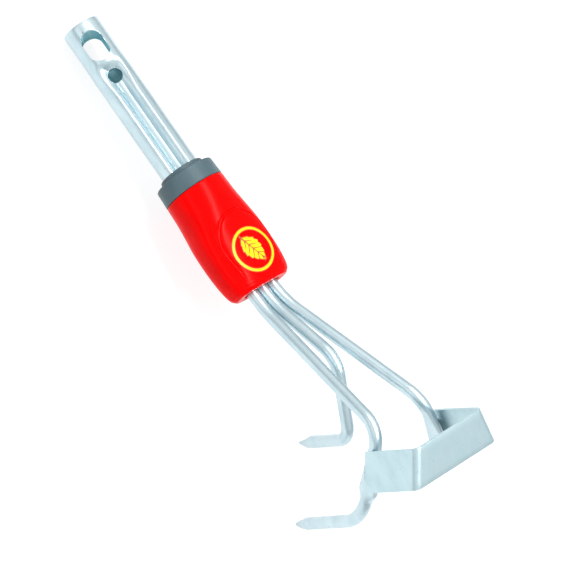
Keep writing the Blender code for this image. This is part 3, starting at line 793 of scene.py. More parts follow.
@dataclass
class Shank:
    """The tube: round at its free end, grooved along its length, pressed flat over the rods."""

    axes: ToolAxes
    finishes: FinishSet
    diameter: float = 25.0 * MM
    wall: float = 1.5 * MM
    clocking: float = radians(29.0)
    round_length: float = 28.0 * MM
    groove_full: float = 37.0 * MM
    flute_width: float = 25.4 * MM
    flute_height: float = 22.6 * MM
    groove_depth: float = 5.6 * MM
    floor_angle: float = radians(15.0)
    lip_angle: float = radians(36.0)
    bowl_angle: float = radians(9.0)
    bowl_length: float = 15.0 * MM
    hole_centre: float = 17.3 * MM
    hole_length: float = 21.0 * MM
    hole_width: float = 14.0 * MM
    vent_centre: float = 39.0 * MM
    vent_diameter: float = 9.0 * MM
    flute_end: float = 140.1 * MM
    crimp_start: float = 150.1 * MM
    crimp_end: float = 188.1 * MM
    crimp_width: float = 28.2 * MM
    crimp_height: float = 11.6 * MM
    rim_bevel: float = 0.22 * MM
    sides: int = 144

    def fluted(self, x: float, angle: float) -> float:
        """Radius of the grooved stretch, whose groove opens into a bowl round the vent."""
        local = angle - self.clocking
        half_width, half_height = self.flute_width / 2, self.flute_height / 2
        radius = 1.0 / hypot(cos(local) / half_width, sin(local) / half_height)
        from_groove = abs((local - pi / 2 + pi) % (2 * pi) - pi)
        bowl = self.bowl_angle * (1.0 - smoothstep((x - self.vent_centre) / self.bowl_length))
        lip, floor = self.lip_angle + bowl, self.floor_angle + bowl * 0.4
        return radius - self.groove_depth * smoothstep((lip - from_groove) / (lip - floor))

    def radius(self, x: float, angle: float) -> float:
        """Outside radius of the tube at a place along it, in one direction."""
        plain = self.diameter / 2
        if x <= self.round_length:
            return plain
        fluted = self.fluted(x, angle)
        if x < self.flute_end:
            run_in = (x - self.round_length) / (self.groove_full - self.round_length)
            return mix(plain, fluted, smoothstep(run_in))
        pressed = stadium_radius(angle, self.crimp_width, self.crimp_height)
        share = (x - self.flute_end) / (self.crimp_start - self.flute_end)
        return mix(fluted, pressed, smoothstep(share))

    def stations(self) -> list[float]:
        """Where the tube's rings stand, close together wherever its section changes."""
        return (
            steps(0.0, self.round_length, 12)
            + steps(self.round_length, 56 * MM, 32)[1:]
            + steps(56 * MM, self.flute_end, 28)[1:]
            + steps(self.flute_end, self.crimp_start, 10)[1:]
            + steps(self.crimp_start, self.crimp_end, 6)[1:]
        )

    def build(self) -> None:
        """Draw the tube, give it its wall, and cut the lock hole and the vent."""
        rings = [
            [
                Vector((x, self.radius(x, angle) * cos(angle), self.radius(x, angle) * sin(angle)))
                for angle in turn(self.sides)
            ]
            for x in self.stations()
        ]
        tube = Bench.skin("steel_shank", rings, Ends.OPEN)
        Bench.modify(tube, "SOLIDIFY", thickness=self.wall, offset=-1.0, use_even_offset=False)
        reach = self.diameter
        clock = Matrix.Rotation(self.clocking, 4, "X")
        hole = Bench.drill("lock_hole", self.hole_width, self.hole_length, -reach, reach)
        hole.data.transform(clock @ Matrix.Translation((self.hole_centre, 0.0, 0.0)))
        Bench.cut(tube, hole)
        vent = Bench.drill("vent", self.vent_diameter, self.vent_diameter, 2 * MM, reach)
        vent.data.transform(clock @ Matrix.Translation((self.vent_centre, 0.0, 0.0)))
        Bench.cut(tube, vent)
        Bench.modify(
            tube,
            "BEVEL",
            width=self.rim_bevel,
            segments=2,
            limit_method="ANGLE",
            angle_limit=radians(42.0),
            use_clamp_overlap=False,
        )
        # Faces inside the tube take the bore finish: painted shade, darker and duller than the plate
        # outside.
        for face in tube.data.polygons:
            x, y, z = face.center
            inside = hypot(y, z) < self.radius(x, atan2(z, y)) - 0.8 * self.wall
            face.material_index = 1 if inside else 0
        surfaces = [self.finishes.plate, self.finishes.bore]
        Bench.lay(tube, self.axes, Slot.STEEL, surfaces, ["shank_tube"], 38.0)


# --- tines and blade -----------------------------------------------------------------------------


@dataclass
class Hoe:
    """The U-shaped blade: one strip folded into a front plate between two arms."""

    axes: ToolAxes
    finishes: FinishSet
    sleeve_end: float = 200.0 * MM
    thickness: float = 1.8 * MM
    height: float = 25.0 * MM
    top_width: float = 55.0 * MM
    edge_width: float = 68.4 * MM
    top: tuple[float, float] = (140.6 * MM, 73.4 * MM)
    slope: float = radians(-37.2)
    arm_slope: float = radians(-113.2)
    arm_splay: float = radians(2.0)
    arm_length: float = 44.0 * MM
    fold: float = 3.0 * MM
    edge_bevel: float = 0.25 * MM
    weld: float = 2.2 * MM
    weld_run: tuple[float, float] = (0.30, 0.78)
    weld_ripples: int = 11
    weld_ripple: float = 0.07

    def corners(self, side: Side) -> tuple[Vector, Vector]:
        """Outer ends of one fold, at the top edge and at the cutting edge."""
        top = Vector((self.sleeve_end + self.top[0], side.value * self.top_width / 2, self.top[1]))
        edge = top + side_vector(self.slope) * self.height
        edge.y = side.value * self.edge_width / 2
        return top, edge

    def arm(self, side: Side) -> Vector:
        """Unit vector along one arm, from the fold to the rods."""
        splay = Vector((0.0, side.value * sin(self.arm_splay), 0.0))
        return side_vector(self.arm_slope) * cos(self.arm_splay) + splay

    def normal(self, side: Side) -> Vector:
        """Unit vector out of the outer face of one arm."""
        top, edge = self.corners(side)
        normal = self.arm(side).cross(edge - top).normalized()
        return normal if normal.y * side.value > 0 else -normal

    def beside(self, x: float, z: float, side: Side, depth: float) -> Vector:
        """The point at x and z that lies depth inside the outer face of one arm."""
        top, _ = self.corners(side)
        normal = self.normal(side)
        away = normal.x * (x - top.x) + normal.z * (z - top.z) + depth
        return Vector((x, top.y - away / normal.y, z))

    def build(self) -> None:
        """Fold the strip, give it its thickness and break its edges."""
        left_arm, right_arm = (self.arm(side) * self.arm_length for side in Side)
        lines = []
        for left, right in zip(self.corners(Side.LEFT), self.corners(Side.RIGHT)):
            strip = [left + left_arm, left, right, right + right_arm]
            folded = rounded_line(strip, (self.fold,) * 2, 6.0)
            lines.append(densified(folded, 5 * MM, 8))
        top_line, edge_line = lines
        rows = [
            [low.lerp(high, share) for low, high in zip(edge_line, top_line)]
            for share in steps(0, 1, 6)
        ]
        blade = Bench.sheet("hoe_plate", rows)
        Bench.modify(blade, "SOLIDIFY", thickness=self.thickness, offset=-1.0, use_even_offset=True)
        Bench.modify(
            blade,
            "BEVEL",
            width=self.edge_bevel,
            segments=3,
            limit_method="ANGLE",
            angle_limit=radians(50.0),
        )
        Bench.lay(blade, self.axes, Slot.STEEL, [self.finishes.strip], ["hoe_blade"], 35.0)
        for side in Side:
            self.build_weld(side)

    def build_weld(self, side: Side) -> None:
        """Lay a rippled bead between one arm's end and its rod."""
        top, edge = self.corners(side)
        beyond = self.arm(side) * (self.arm_length + GAP + self.weld / 2)
        inwards = -self.normal(side) * (self.thickness - self.weld / 2)
        start, end = (top.lerp(edge, share) + beyond + inwards for share in self.weld_run)
        rings = []
        along = (end - start).normalized()
        across = self.normal(side)
        third = along.cross(across)
        for share in steps(0.0, 1.0, 44):
            swell = sqrt(max(1.0 - (2 * share - 1.0) ** 6, 0.04))
            ripple = 1.0 + self.weld_ripple * cos(2 * pi * share * self.weld_ripples)
            radius = self.weld / 2 * swell * ripple * 0.96
            point = start.lerp(end, share)
            rings.append(
                [point + (across * cos(angle) + third * sin(angle)) * radius for angle in turn(18)]
            )
        name = side.name.lower()
        bead = Bench.skin(f"{name}_weld_bead", rings)
        Bench.lay(bead, self.axes, Slot.WELD, [self.finishes.weld], [f"{name}_blade_weld"], 60.0)


def rounded_line(corners: Sequence[Vector], radii: Sequence[float], step: float) -> Ring:
    """Round the inner corners of a line.

    Args:
        corners: The line's corners, its two ends included.
        radii: Bend radius at each inner corner.
        step: Most degrees that one piece of a bend turns.

    Returns:
        Points along the bent line.
    """
    points = [corners[0].copy()]
    for before, corner, after, radius in zip(corners, corners[1:], corners[2:], radii):
        to_before = (before - corner).normalized()
        to_after = (after - corner).normalized()
        half = to_before.angle(to_after) / 2
        centre = corner + (to_before + to_after).normalized() * (radius / sin(half))
        arm = corner + to_before * radius * cos(half) / sin(half) - centre
        axis = arm.cross(-to_before).normalized()
        bend = pi - 2 * half
        count = max(4, round(bend / radians(step)))
        turns = (Matrix.Rotation(bend * i / count, 3, axis) for i in range(count + 1))
        points += [centre + turned @ arm for turned in turns]
    points.append(corners[-1].copy())
    return points


def densified(line: Sequence[Vector], longest: float, count: int) -> Ring:
    """Split each stretch of a line that is longer than a length into count equal parts."""
    points = [line[0]]
    for first, second in zip(line, line[1:]):
        parts = count if (second - first).length > longest else 1
        points += [first.lerp(second, i / parts) for i in range(1, parts + 1)]
    return points


@dataclass
class Tines:
    """Three bent rods: a centre tine, and two outer ones forged flat where the hoe sits."""

    axes: ToolAxes
    finishes: FinishSet
    hoe: Hoe
    diameter: float = 8.0 * MM
    pitch: float = 8.3 * MM
    start: float = 152.1 * MM
    lead_out: float = 12.0 * MM
    centre_corners: tuple[tuple[float, float], ...] = (
        (64.5 * MM, 21.6 * MM),
        (106.9 * MM, -15.8 * MM),
        (87.5 * MM, -62.2 * MM),
    )
    outer_corners: tuple[tuple[float, float], ...] = (
        (116.3 * MM, 43.1 * MM),
        (154.6 * MM, 0.6 * MM),
        (129.3 * MM, -70.0 * MM),
    )
    tip_spread: float = 63.5 * MM
    exit_bend: float = 60.0 * MM
    rise_bend: float = 18.0 * MM
    centre_heel_bend: float = 14.0 * MM
    outer_heel_bend: float = 28.0 * MM
    flat_top: float = 6.6 * MM
    flat_bottom: float = 4.2 * MM
    flat_width: float = 15.4 * MM
    run_out: float = 7.0 * MM
    point_length: float = 13.0 * MM
    point_width: float = 1.2 * MM
    point_swell: float = 0.05
    sides: int = 32

    def at_head(self, place: tuple[float, float], y: float = 0.0) -> Vector:
        """A point from its x beyond the sleeve and its z."""
        return Vector((self.hoe.sleeve_end + place[0], y, place[1]))

    def flat_run(self, side: Side) -> tuple[Ring, Ring]:
        """Find where an outer rod is forged flat behind the hoe's arm.

        Args:
            side: Which outer rod.

        Returns:
            The flat's two ends, and the rod's corners before and after it.
        """
        rise, heel = (self.at_head(corner) for corner in self.outer_corners[:2])
        square = side_vector(self.hoe.arm_slope + pi / 2)
        shares = [
            (corner - rise).dot(square) / (heel - rise).dot(square)
            for corner in self.hoe.corners(side)
        ]
        flat = []
        for share, thickness in zip(shares, (self.flat_top, self.flat_bottom)):
            place = rise.lerp(heel, share)
            depth = self.hoe.thickness + GAP + thickness / 2
            flat.append(self.hoe.beside(place.x, place.z, side, depth))
        run = (flat[1] - flat[0]) / (shares[1] - shares[0])
        return flat, [flat[0] - run * shares[0], flat[0] + run * (1.0 - shares[0])]

    def section(
        self, to_tip: float, place: float, forged: float
    ) -> Callable[[float], tuple[float, float]]:
        """The rod's section at one place along it.

        Args:
            to_tip: Length of rod left before its tip.
            place: How far along the forged flat, from 0 to 1.
            forged: How much it is forged, from 0 to 1.

        Returns:
            A function from an angle to the distances across and out of the rod's plane.
        """
        thickness = mix(self.flat_top, self.flat_bottom, place)
        half_thickness = mix(self.diameter, thickness, forged) / 2
        half_width = mix(self.diameter, self.flat_width, forged * place) / 2
        square = forged * 0.5
        facets = 0.0
        if to_tip < self.point_length:
            share = to_tip / self.point_length
            facets = smoothstep((1.0 - share) * 3.5)
            shrink = mix(self.point_width / self.diameter, 1.0, share**0.95)
            half_thickness *= shrink * (1.0 + self.point_swell * facets)
            half_width *= shrink * (1.0 + 2 * self.point_swell * facets)
        exponent = mix(2.0, 3.0, square)

        def outline(angle: float) -> tuple[float, float]:
            """One point of the section, more like a square bar towards the point."""
            radius = (abs(cos(angle)) ** exponent + abs(sin(angle)) ** exponent) ** (-1 / exponent)
            quarter = (angle + pi / 4) % (pi / 2) - pi / 4
            radius *= mix(1.0, 0.80 / max(cos(quarter), 0.7071), facets)
            return half_thickness * radius * cos(angle), half_width * radius * sin(angle)

        return outline

    def rings(self, line: Ring, side: Vector, flat: Ring | None) -> list[Ring]:
        """Set the rod's sections square to its line.

        Args:
            line: Points along the rod, ending at its tip.
            side: The way that the flat faces.
            flat: The two ends of the forged flat, if it has one.

        Returns:
            Rings along the rod.
        """
        along = [0.0]
        for first, second in zip(line, line[1:]):
            along.append(along[-1] + (second - first).length)
        flat_ends = (0.0, 0.0)
        if flat:
            flat_ends = tuple(
                along[min(range(len(line)), key=lambda i: (line[i] - end).length)] for end in flat
            )
        rings = []
        for i, point in enumerate(line):
            ahead = line[min(i + 1, len(line) - 1)] - point
            behind = point - line[max(i - 1, 0)]
            forward = (ahead.normalized() + behind.normalized()).normalized()
            across = (side - forward * side.dot(forward)).normalized()
            third = forward.cross(across)
            place, forged = 0.0, 0.0
            if flat:
                low, high = flat_ends
                place = min(max((along[i] - low) / (high - low), 0.0), 1.0)
                forged = smoothstep(min(along[i] - low, high - along[i]) / self.run_out + 1.0)
            outline = self.section(along[-1] - along[i], place, forged)
            ring = []
            for angle in turn(self.sides):
                out, wide = outline(angle)
                ring.append(point + across * out + third * wide)
            rings.append(ring)
        return rings

    def line(self, corners: Sequence[Vector], radii: Sequence[float]) -> Ring:
        """Points every millimetre or two along a bent rod, closer at its tip."""
        line = rounded_line(corners, radii, 3.0)
        tip = line.pop()
        back = (line[-1] - tip).normalized()
        near = [tip + back * self.point_length * share for share in (1.6, 1.3, 1.1)]
        near += [tip + back * self.point_length * share for share in steps(1.0, 0.0, 14)]
        points = [line[0]]
        for second in line[1:] + near[:1]:
            first = points[-1]
            parts = max(1, round((second - first).length / (2.0 * MM)))
            points += [first.lerp(second, i / parts) for i in range(1, parts + 1)]
        return points + near[1:]

    def build(self) -> None:
        """Bend the centre rod and the two outer rods."""
        across = Vector((0.0, 1.0, 0.0))
        corners = [
            Vector((self.start, 0.0, 0.0)),
            self.at_head((self.lead_out, 0.0)),
            *(self.at_head(corner) for corner in self.centre_corners),
        ]
        line = self.line(corners, (self.exit_bend, self.rise_bend, self.centre_heel_bend))
        self.dress(Bench.skin("centre_rod", self.rings(line, across, None)), "centre_tine")
        for side in Side:
            flat, run = self.flat_run(side)
            y = side.value * self.pitch
            corners = [
                Vector((self.start, y, 0.0)),
                self.at_head((self.lead_out, 0.0), y),
                *run,
                self.at_head(self.outer_corners[2], side.value * self.tip_spread / 2),
            ]
            line = self.line(corners, (self.exit_bend, self.rise_bend, self.outer_heel_bend))
            name = side.name.lower()
            rod = Bench.skin(f"{name}_rod", self.rings(line, self.hoe.normal(side), flat))
            self.dress(rod, f"{name}_tine")

    def dress(self, rod: Object, node: str) -> None:
        """Plate one rod and put it in its CAD node's place."""
        Bench.lay(rod, self.axes, Slot.STEEL, [self.finishes.plate], [node], 28.0)


# --- collar and sleeve ---------------------------------------------------------------------------


@dataclass
class Collar:
    """The grey collar that meets the handle, and the seal ring on its face."""

    axes: ToolAxes
    finishes: FinishSet
    seal_start: float = 111.0 * MM
    seal_diameter: float = 29.8 * MM
    start: float = 114.5 * MM
    end: float = 126.5 * MM
    diameter: float = 41.0 * MM
    taper: float = 0.5 * MM
    bore: float = 13.3 * MM
    spigot: float = 17.1 * MM
    spigot_length: float = 4.0 * MM
    edge_round: float = 0.9 * MM
    # The shallow groove round the seal: its depth, and the distance outwards from the seal's edge.
    groove: tuple[tuple[float, float], ...] = (
        (0.0, -0.9 * MM),
        (0.35 * MM, 0.3 * MM),
        (0.35 * MM, 1.1 * MM),
        (0.0, 1.5 * MM),
    )
    sides: int = 128

    def rounded(self, x: float, radius: float, size: float) -> list[tuple[float, float]]:
        """A rounded outer corner that faces the handle."""
        return [
            (x + size * (1 - sin(angle)), radius - size * (1 - cos(angle)))
            for angle in steps(pi / 2, 0.0, 6)
        ]

    def build(self) -> None:
        """Spin the collar and its seal from their sections."""
        radius = self.diameter / 2
        back = self.end - GAP
        lip = 0.25 * MM
        profile = [
            (self.start, self.bore),
            *((self.start + deep, self.seal_diameter / 2 + out) for deep, out in self.groove),
            *self.rounded(self.start, radius - self.taper, self.edge_round),
            (back - lip, radius),
            (back, radius - lip),
            (back, self.spigot),
            (self.end + self.spigot_length, self.spigot),
            (self.end + self.spigot_length, self.bore),
        ]
        collar = Bench.spun("socket_collar", profile, self.sides)
        Bench.lay(collar, self.axes, Slot.GREY, [self.finishes.grey], ["collar"], 30.0)
        profile = [
            (self.seal_start, self.bore + 0.3 * MM),
            *self.rounded(self.seal_start, self.seal_diameter / 2, self.edge_round),
            (self.start - GAP, self.seal_diameter / 2),
            (self.start - GAP, self.bore),
            (self.seal_start + 0.3 * MM, self.bore),
        ]
        seal = Bench.spun("face_seal", profile, self.sides)
        Bench.lay(seal, self.axes, Slot.RUBBER, [self.finishes.rubber], ["seal_ring"], 30.0)


@dataclass
class Sleeve:
    """The red moulding: round at the collar, broad and flat at the slot that the rods leave by."""

    axes: ToolAxes
    finishes: FinishSet
    start: float = 126.5 * MM
    length: float = 73.5 * MM
    round_width: float = 41.0 * MM
    width: float = 48.8 * MM
    thickness: float = 30.0 * MM
    wall: float = 2.8 * MM
    end_wall: float = 3.5 * MM
    slot_width: float = 27.4 * MM
    slot_height: float = 10.8 * MM
    lip: float = 0.9 * MM
    # Place along the sleeve, then its width, thickness and squareness there, as shares of the way
    # from the collar's round section to the widest section.
    stations: tuple[tuple[float, ...], ...] = (
        (0.00, 0.00, 0.00, 0.00),
        (0.17, 0.15, 0.13, 0.15),
        (0.31, 0.42, 0.34, 0.45),
        (0.44, 0.78, 0.62, 0.75),
        (0.58, 0.96, 0.85, 0.95),
        (0.71, 1.00, 1.00, 1.00),
        (0.82, 0.90, 1.10, 1.00),
        (0.92, 0.62, 1.24, 1.00),
        (0.97, 0.28, 1.42, 1.00),
        (1.00, -0.32, 1.72, 1.00),
    )
    sides: int = 128

    @property
    def end(self) -> float:
        """X of the slot end."""
        return self.start + self.length

    def section(self, x: float) -> tuple[float, float, float]:
        """Half width, half thickness and exponent of the outside at x."""
        wide, thick, square = smooth_between(self.stations, (x - self.start) / self.length)
        half_width = mix(self.round_width, self.width, wide) / 2
        half_thickness = mix(self.round_width, self.thickness, thick) / 2
        return half_width, half_thickness, mix(2.0, 2.8, square)

    def ring(self, x: float, inset: float = 0.0, at: float | None = None) -> Ring:
        """Points round the sleeve's section at x, moved in by inset, and set at another x."""
        half_width, half_thickness, exponent = self.section(x)
        half_width, half_thickness = half_width - inset, half_thickness - inset
        ring = []
        for angle in turn(self.sides):
            across = abs(cos(angle) / half_width) ** exponent
            up = abs(sin(angle) / half_thickness) ** exponent
            radius = (across + up) ** (-1.0 / exponent)
            ring.append(Vector((x if at is None else at, radius * cos(angle), radius * sin(angle))))
        return ring

    def slot_ring(self, x: float, margin: float = 0.0) -> Ring:
        """Points round the slot at x, moved out by margin."""
        ring = []
        for angle in turn(self.sides):
            width, height = self.slot_width + 2 * margin, self.slot_height + 2 * margin
            radius = stadium_radius(angle, width, height)
            ring.append(Vector((x, radius * cos(angle), radius * sin(angle))))
        return ring

    def surface(self, x: float, y: float, lift: float) -> Vector:
        """The point of the badge side over x and y, raised by lift."""
        half_width, half_thickness, exponent = self.section(x)
        share = max(1.0 - abs(y / half_width) ** exponent, 0.0)
        return Vector((x, y, half_thickness * share ** (1.0 / exponent) + lift))

    def build(self) -> None:
        """Draw the sleeve's inside, rim, outside, end and slot as one closed skin."""
        hollow_end = self.end - self.end_wall
        rim = 0.35 * MM
        rings = [self.ring(x, self.wall) for x in steps(hollow_end, self.start, 14)]
        rings.append(self.ring(self.start, rim * 1.2))
        rings.append(self.ring(self.start, rim * 0.4, self.start + rim * 0.3))
        rings += [self.ring(x) for x in steps(self.start + rim, mix(self.start, self.end, 0.9), 40)]
        rings += [self.ring(x) for x in steps(mix(self.start, self.end, 0.915), self.end, 16)]
        rings.append(self.ring(self.end, 0.5 * MM))
        for angle in steps(0.0, pi / 2, 5):
            margin = self.lip * (1.0 - sin(angle))
            rings.append(self.slot_ring(self.end - self.lip * (1.0 - cos(angle)), margin))
        rings.append(self.slot_ring(hollow_end))
        sleeve = Bench.skin("red_sleeve", rings, Ends.JOINED)
        Bench.lay(sleeve, self.axes, Slot.RED, [self.finishes.red], ["sleeve"], 40.0)


# --- badge ---------------------------------------------------------------------------------------


@dataclass
class Badge:
    """The raised tongue on the sleeve, and the plain leaf in a ring that is printed on it."""

    axes: ToolAxes
    finishes: FinishSet
    sleeve: Sleeve
    tongue_width: float = 38.0 * MM
    tongue_end_width: float = 32.0 * MM
    tongue_start: float = 49.0 * MM
    tongue_end: float = 3.4 * MM
    tongue_round: float = 22.0 * MM
    tongue_height: float = 1.5 * MM
    tongue_fade: float = 15.0 * MM
    ink: float = 0.16 * MM
    ring_centre: float = 21.0 * MM
    ring_diameter: float = 29.6 * MM
    ring_stroke: float = 2.4 * MM
    ink_edge: float = 0.45 * MM
    leaf_length: float = 21.0 * MM
    leaf_width: float = 15.0 * MM
    leaf_turn: float = radians(24.0)
    leaf_lobes: int = 6
    vein_width: float = 0.75 * MM
    # Share of the tongue's outline, then the lift there: a soft step, then a fine sunk line
    # inside the rim, then the flat face.
    tongue_steps: tuple[tuple[float, float], ...] = (
        (0.02, -0.7),
        (0.6, -0.7),
        (1.035, -0.7),
        (1.03, -0.10),
        (1.012, 0.12),
        (0.995, 0.62),
        (0.98, 0.92),
        (0.962, 1.0),
        (0.948, 0.94),
        (0.937, 0.55),
        (0.915, 0.50),
        (0.904, 0.92),
        *((share, 1.0) for share in (0.89, 0.80, 0.65, 0.50, 0.35, 0.20, 0.08, 0.02)),
    )

    def face(self, x: float) -> float:
        """Height of the tongue's face over the sleeve at x, sinking towards the slot."""
        before_end = self.sleeve.end - self.tongue_end - x
        return self.tongue_height * mix(0.12, 1.0, smoothstep(before_end / self.tongue_fade))

    def tongue_outline(self) -> list[tuple[float, float]]:
        """X and y of the tongue's edge: a rounded end, then two sides that draw in."""
        start = self.sleeve.end - self.tongue_start
        end = self.sleeve.end - self.tongue_end
        power = 2 / 2.2
        half = []
        for angle in steps(0.0, pi / 2, 22):
            x = start + self.tongue_round * (1.0 - cos(angle) ** power)
            half.append((x, self.tongue_width / 2 * sin(angle) ** power))
        for share in steps(0.0, 1.0, 18)[1:]:
            x = mix(start + self.tongue_round, end, share)
            half.append((x, mix(self.tongue_width, self.tongue_end_width, smoothstep(share)) / 2))
        for share in steps(1.0, 0.0, 10)[1:-1]:
            half.append((end, self.tongue_end_width / 2 * share))
        other = [(x, -y) for x, y in reversed(half[1:])]
        return half + [(end, 0.0)] + other

    def on_face(self, x: float, y: float, lift: float) -> Vector:
        """The point of the tongue's face over x and y, raised by lift."""
        return self.sleeve.surface(x, y, self.face(x) + lift)

    def build_tongue(self) -> None:
        """Raise the tongue out of the sleeve, fading into its rounded end."""
        outline = self.tongue_outline()
        middle = self.sleeve.end - (self.tongue_start + self.tongue_end) / 2
        rings = []
        for share, height in self.tongue_steps:
            ring = []
            for x, y in outline:
                x, y = middle + (x - middle) * share, y * share
                lift = self.face(x) if height > 0 else self.tongue_height
                ring.append(self.sleeve.surface(x, y, lift * height))
            rings.append(ring)
        tongue = Bench.skin("badge_tongue", rings)
        Bench.lay(tongue, self.axes, Slot.RED, [self.finishes.red], ["badge_panel"], 50.0)

    def build_ring(self) -> None:
        """Print the ring, with its thin amber edge."""
        centre = self.sleeve.end - self.ring_centre
        outer, inner = self.ring_diameter / 2, self.ring_diameter / 2 - self.ring_stroke
        edge = self.ink_edge
        profile = (
            (outer, -0.3 * MM),
            (outer, self.ink * 0.7),
            (outer - edge * 0.3, self.ink),
            (outer - edge, self.ink),
            (inner + edge, self.ink),
            (inner + edge * 0.3, self.ink),
            (inner, self.ink * 0.7),
            (inner, -0.3 * MM),
        )
        rings = [
            [
                self.on_face(centre + radius * cos(angle), radius * sin(angle), lift)
                for angle in turn(120)
            ]
            for radius, lift in profile
        ]
        ring = Bench.skin("printed_ring", rings, Ends.JOINED)
        for face in ring.data.polygons:
            away = hypot(face.center.x - centre, face.center.y)
            face.material_index = 0 if inner + edge < away < outer - edge else 1
        self.dress(ring, "badge_ring")

    def leaf_outline(self) -> list[tuple[float, float]]:
        """Along and across of the leaf's edge, lobed like a hornbeam's, from stalk to tip."""
        half = []
        for share in steps(0.0, 1.0, 60):
            body = sin(pi * share**0.82) ** 0.92 if 0 < share < 1 else 0.0
            lobe = 0.82 + 0.18 * ((share * self.leaf_lobes + 0.15) % 1.0)
            along = self.leaf_length * (share - 0.5)
            half.append((along, max(self.leaf_width / 2 * body * lobe, 0.12 * MM)))
        return half + [(along, -across) for along, across in reversed(half)]

    def on_badge(self, along: float, across: float, lift: float) -> Vector:
        """A point of the leaf, turned on the badge and laid on the tongue's face."""
        x = along * cos(self.leaf_turn) - across * sin(self.leaf_turn)
        y = along * sin(self.leaf_turn) + across * cos(self.leaf_turn)
        return self.on_face(self.sleeve.end - self.ring_centre + x, y, lift)

    def build_leaf(self) -> None:
        """Print the leaf and its veins."""
        outline = self.leaf_outline()
        levels = (
            (1.0, -0.3 * MM),
            (1.0, self.ink * 0.7),
            *((share, self.ink) for share in (0.985, 0.93, 0.75, 0.5, 0.25, 0.04)),
        )
        rings = [[self.on_badge(a * s, c * s, lift) for a, c in outline] for s, lift in levels]
        leaf = Bench.skin("printed_leaf", rings)
        veins = [self.vein((-0.57, 0.0), (0.45, 0.0), 1.4)]
        for k in range(self.leaf_lobes - 1):
            root = -0.36 + 0.17 * k
            reach = 0.30 * sin(pi * (root + 0.5 + 0.12)) + 0.02
            for way in (1, -1):
                veins.append(self.vein((root, 0.0), (root + 0.17, way * reach), 1.0))
        printed = len(leaf.data.polygons)
        leaf = Bench.join([leaf, *veins])
        for index, face in enumerate(leaf.data.polygons):
            face.material_index = 1 if index < 3 * len(outline) or index >= printed else 0
        self.dress(leaf, "badge_leaf")

    def vein(self, root: tuple[float, float], tip: tuple[float, float], weight: float) -> Object:
        """One vein of the leaf, as a strip that thins towards its tip.

        Args:
            root: Along and across of its thick end, as shares of the leaf's length and width.
            tip: The same for its thin end.
            weight: How much wider than a plain vein it starts.

        Returns:
            The strip.
        """
        start = Vector((root[0] * self.leaf_length, root[1] * self.leaf_width))
        end = Vector((tip[0] * self.leaf_length, tip[1] * self.leaf_width))
        across = Vector((start.y - end.y, end.x - start.x)).normalized()
        rings = []
        for share in steps(0.0, 1.0, 8):
            half = across * self.vein_width / 2 * mix(weight, 0.45, share)
            point = start.lerp(end, share)
            left, right = point + half, point - half
            low, high = self.ink * 0.2, self.ink * 1.35
            rings.append(
                [self.on_badge(*left, low), self.on_badge(*left, high)]
                + [self.on_badge(*right, high), self.on_badge(*right, low)]
            )
        return Bench.skin("vein", rings)

    def dress(self, piece: Object, node: str) -> None:
        """Ink one printed piece: yellow, with an amber edge."""
        inks = [self.finishes.yellow, self.finishes.outline]
        Bench.lay(piece, self.axes, Slot.YELLOW, inks, [node], 60.0)

    def build(self) -> None:
        """Build the tongue and the print on it."""
        self.build_tongue()
        self.build_ring()
        self.build_leaf()


# --- pieces kept from the model ------------------------------------------------------------------


@dataclass
class HiddenParts:
    """The pieces inside the sleeve, which keep their CAD shape and get their real finish."""

    nodes: dict[str, Object]
    finishes: FinishSet

    def build(self) -> None:
        """Dress the bushes, the spring pin and the root welds."""
        dressed = {
            "upper_bush": self.finishes.nylon,
            "lower_bush": self.finishes.nylon,
            "retaining_pin": self.finishes.plate,
            "upper_root_weld": self.finishes.weld,
            "lower_root_weld": self.finishes.weld,
        }
        for name, finish in dressed.items():
            for slot in self.nodes[name].material_slots:
                slot.material = finish.material()
            LOG.info("%s: kept, %s", name, finish.name)


# --- studio --------------------------------------------------------------------------------------


@dataclass(frozen=True)
class Softbox:
    """One oblong studio light, aimed at the tool."""

    name: str
    place: tuple[float, float, float]
    width: float
    height: float
    power: float
    colour: str = "#FFFFFF"

    def build(self) -> None:
        """Hang the light and aim it."""
        light = bpy.data.lights.new(self.name, "AREA")
        light.shape = "RECTANGLE"
        light.size, light.size_y = self.width, self.height
        light.energy = self.power
        light.color = linear(self.colour)[:3]
        lamp = bpy.data.objects.new(self.name, light)
        bpy.context.scene.collection.objects.link(lamp)
        lamp.location = self.place
        lamp.rotation_euler = (-Vector(self.place)).to_track_quat("-Z", "Y").to_euler()


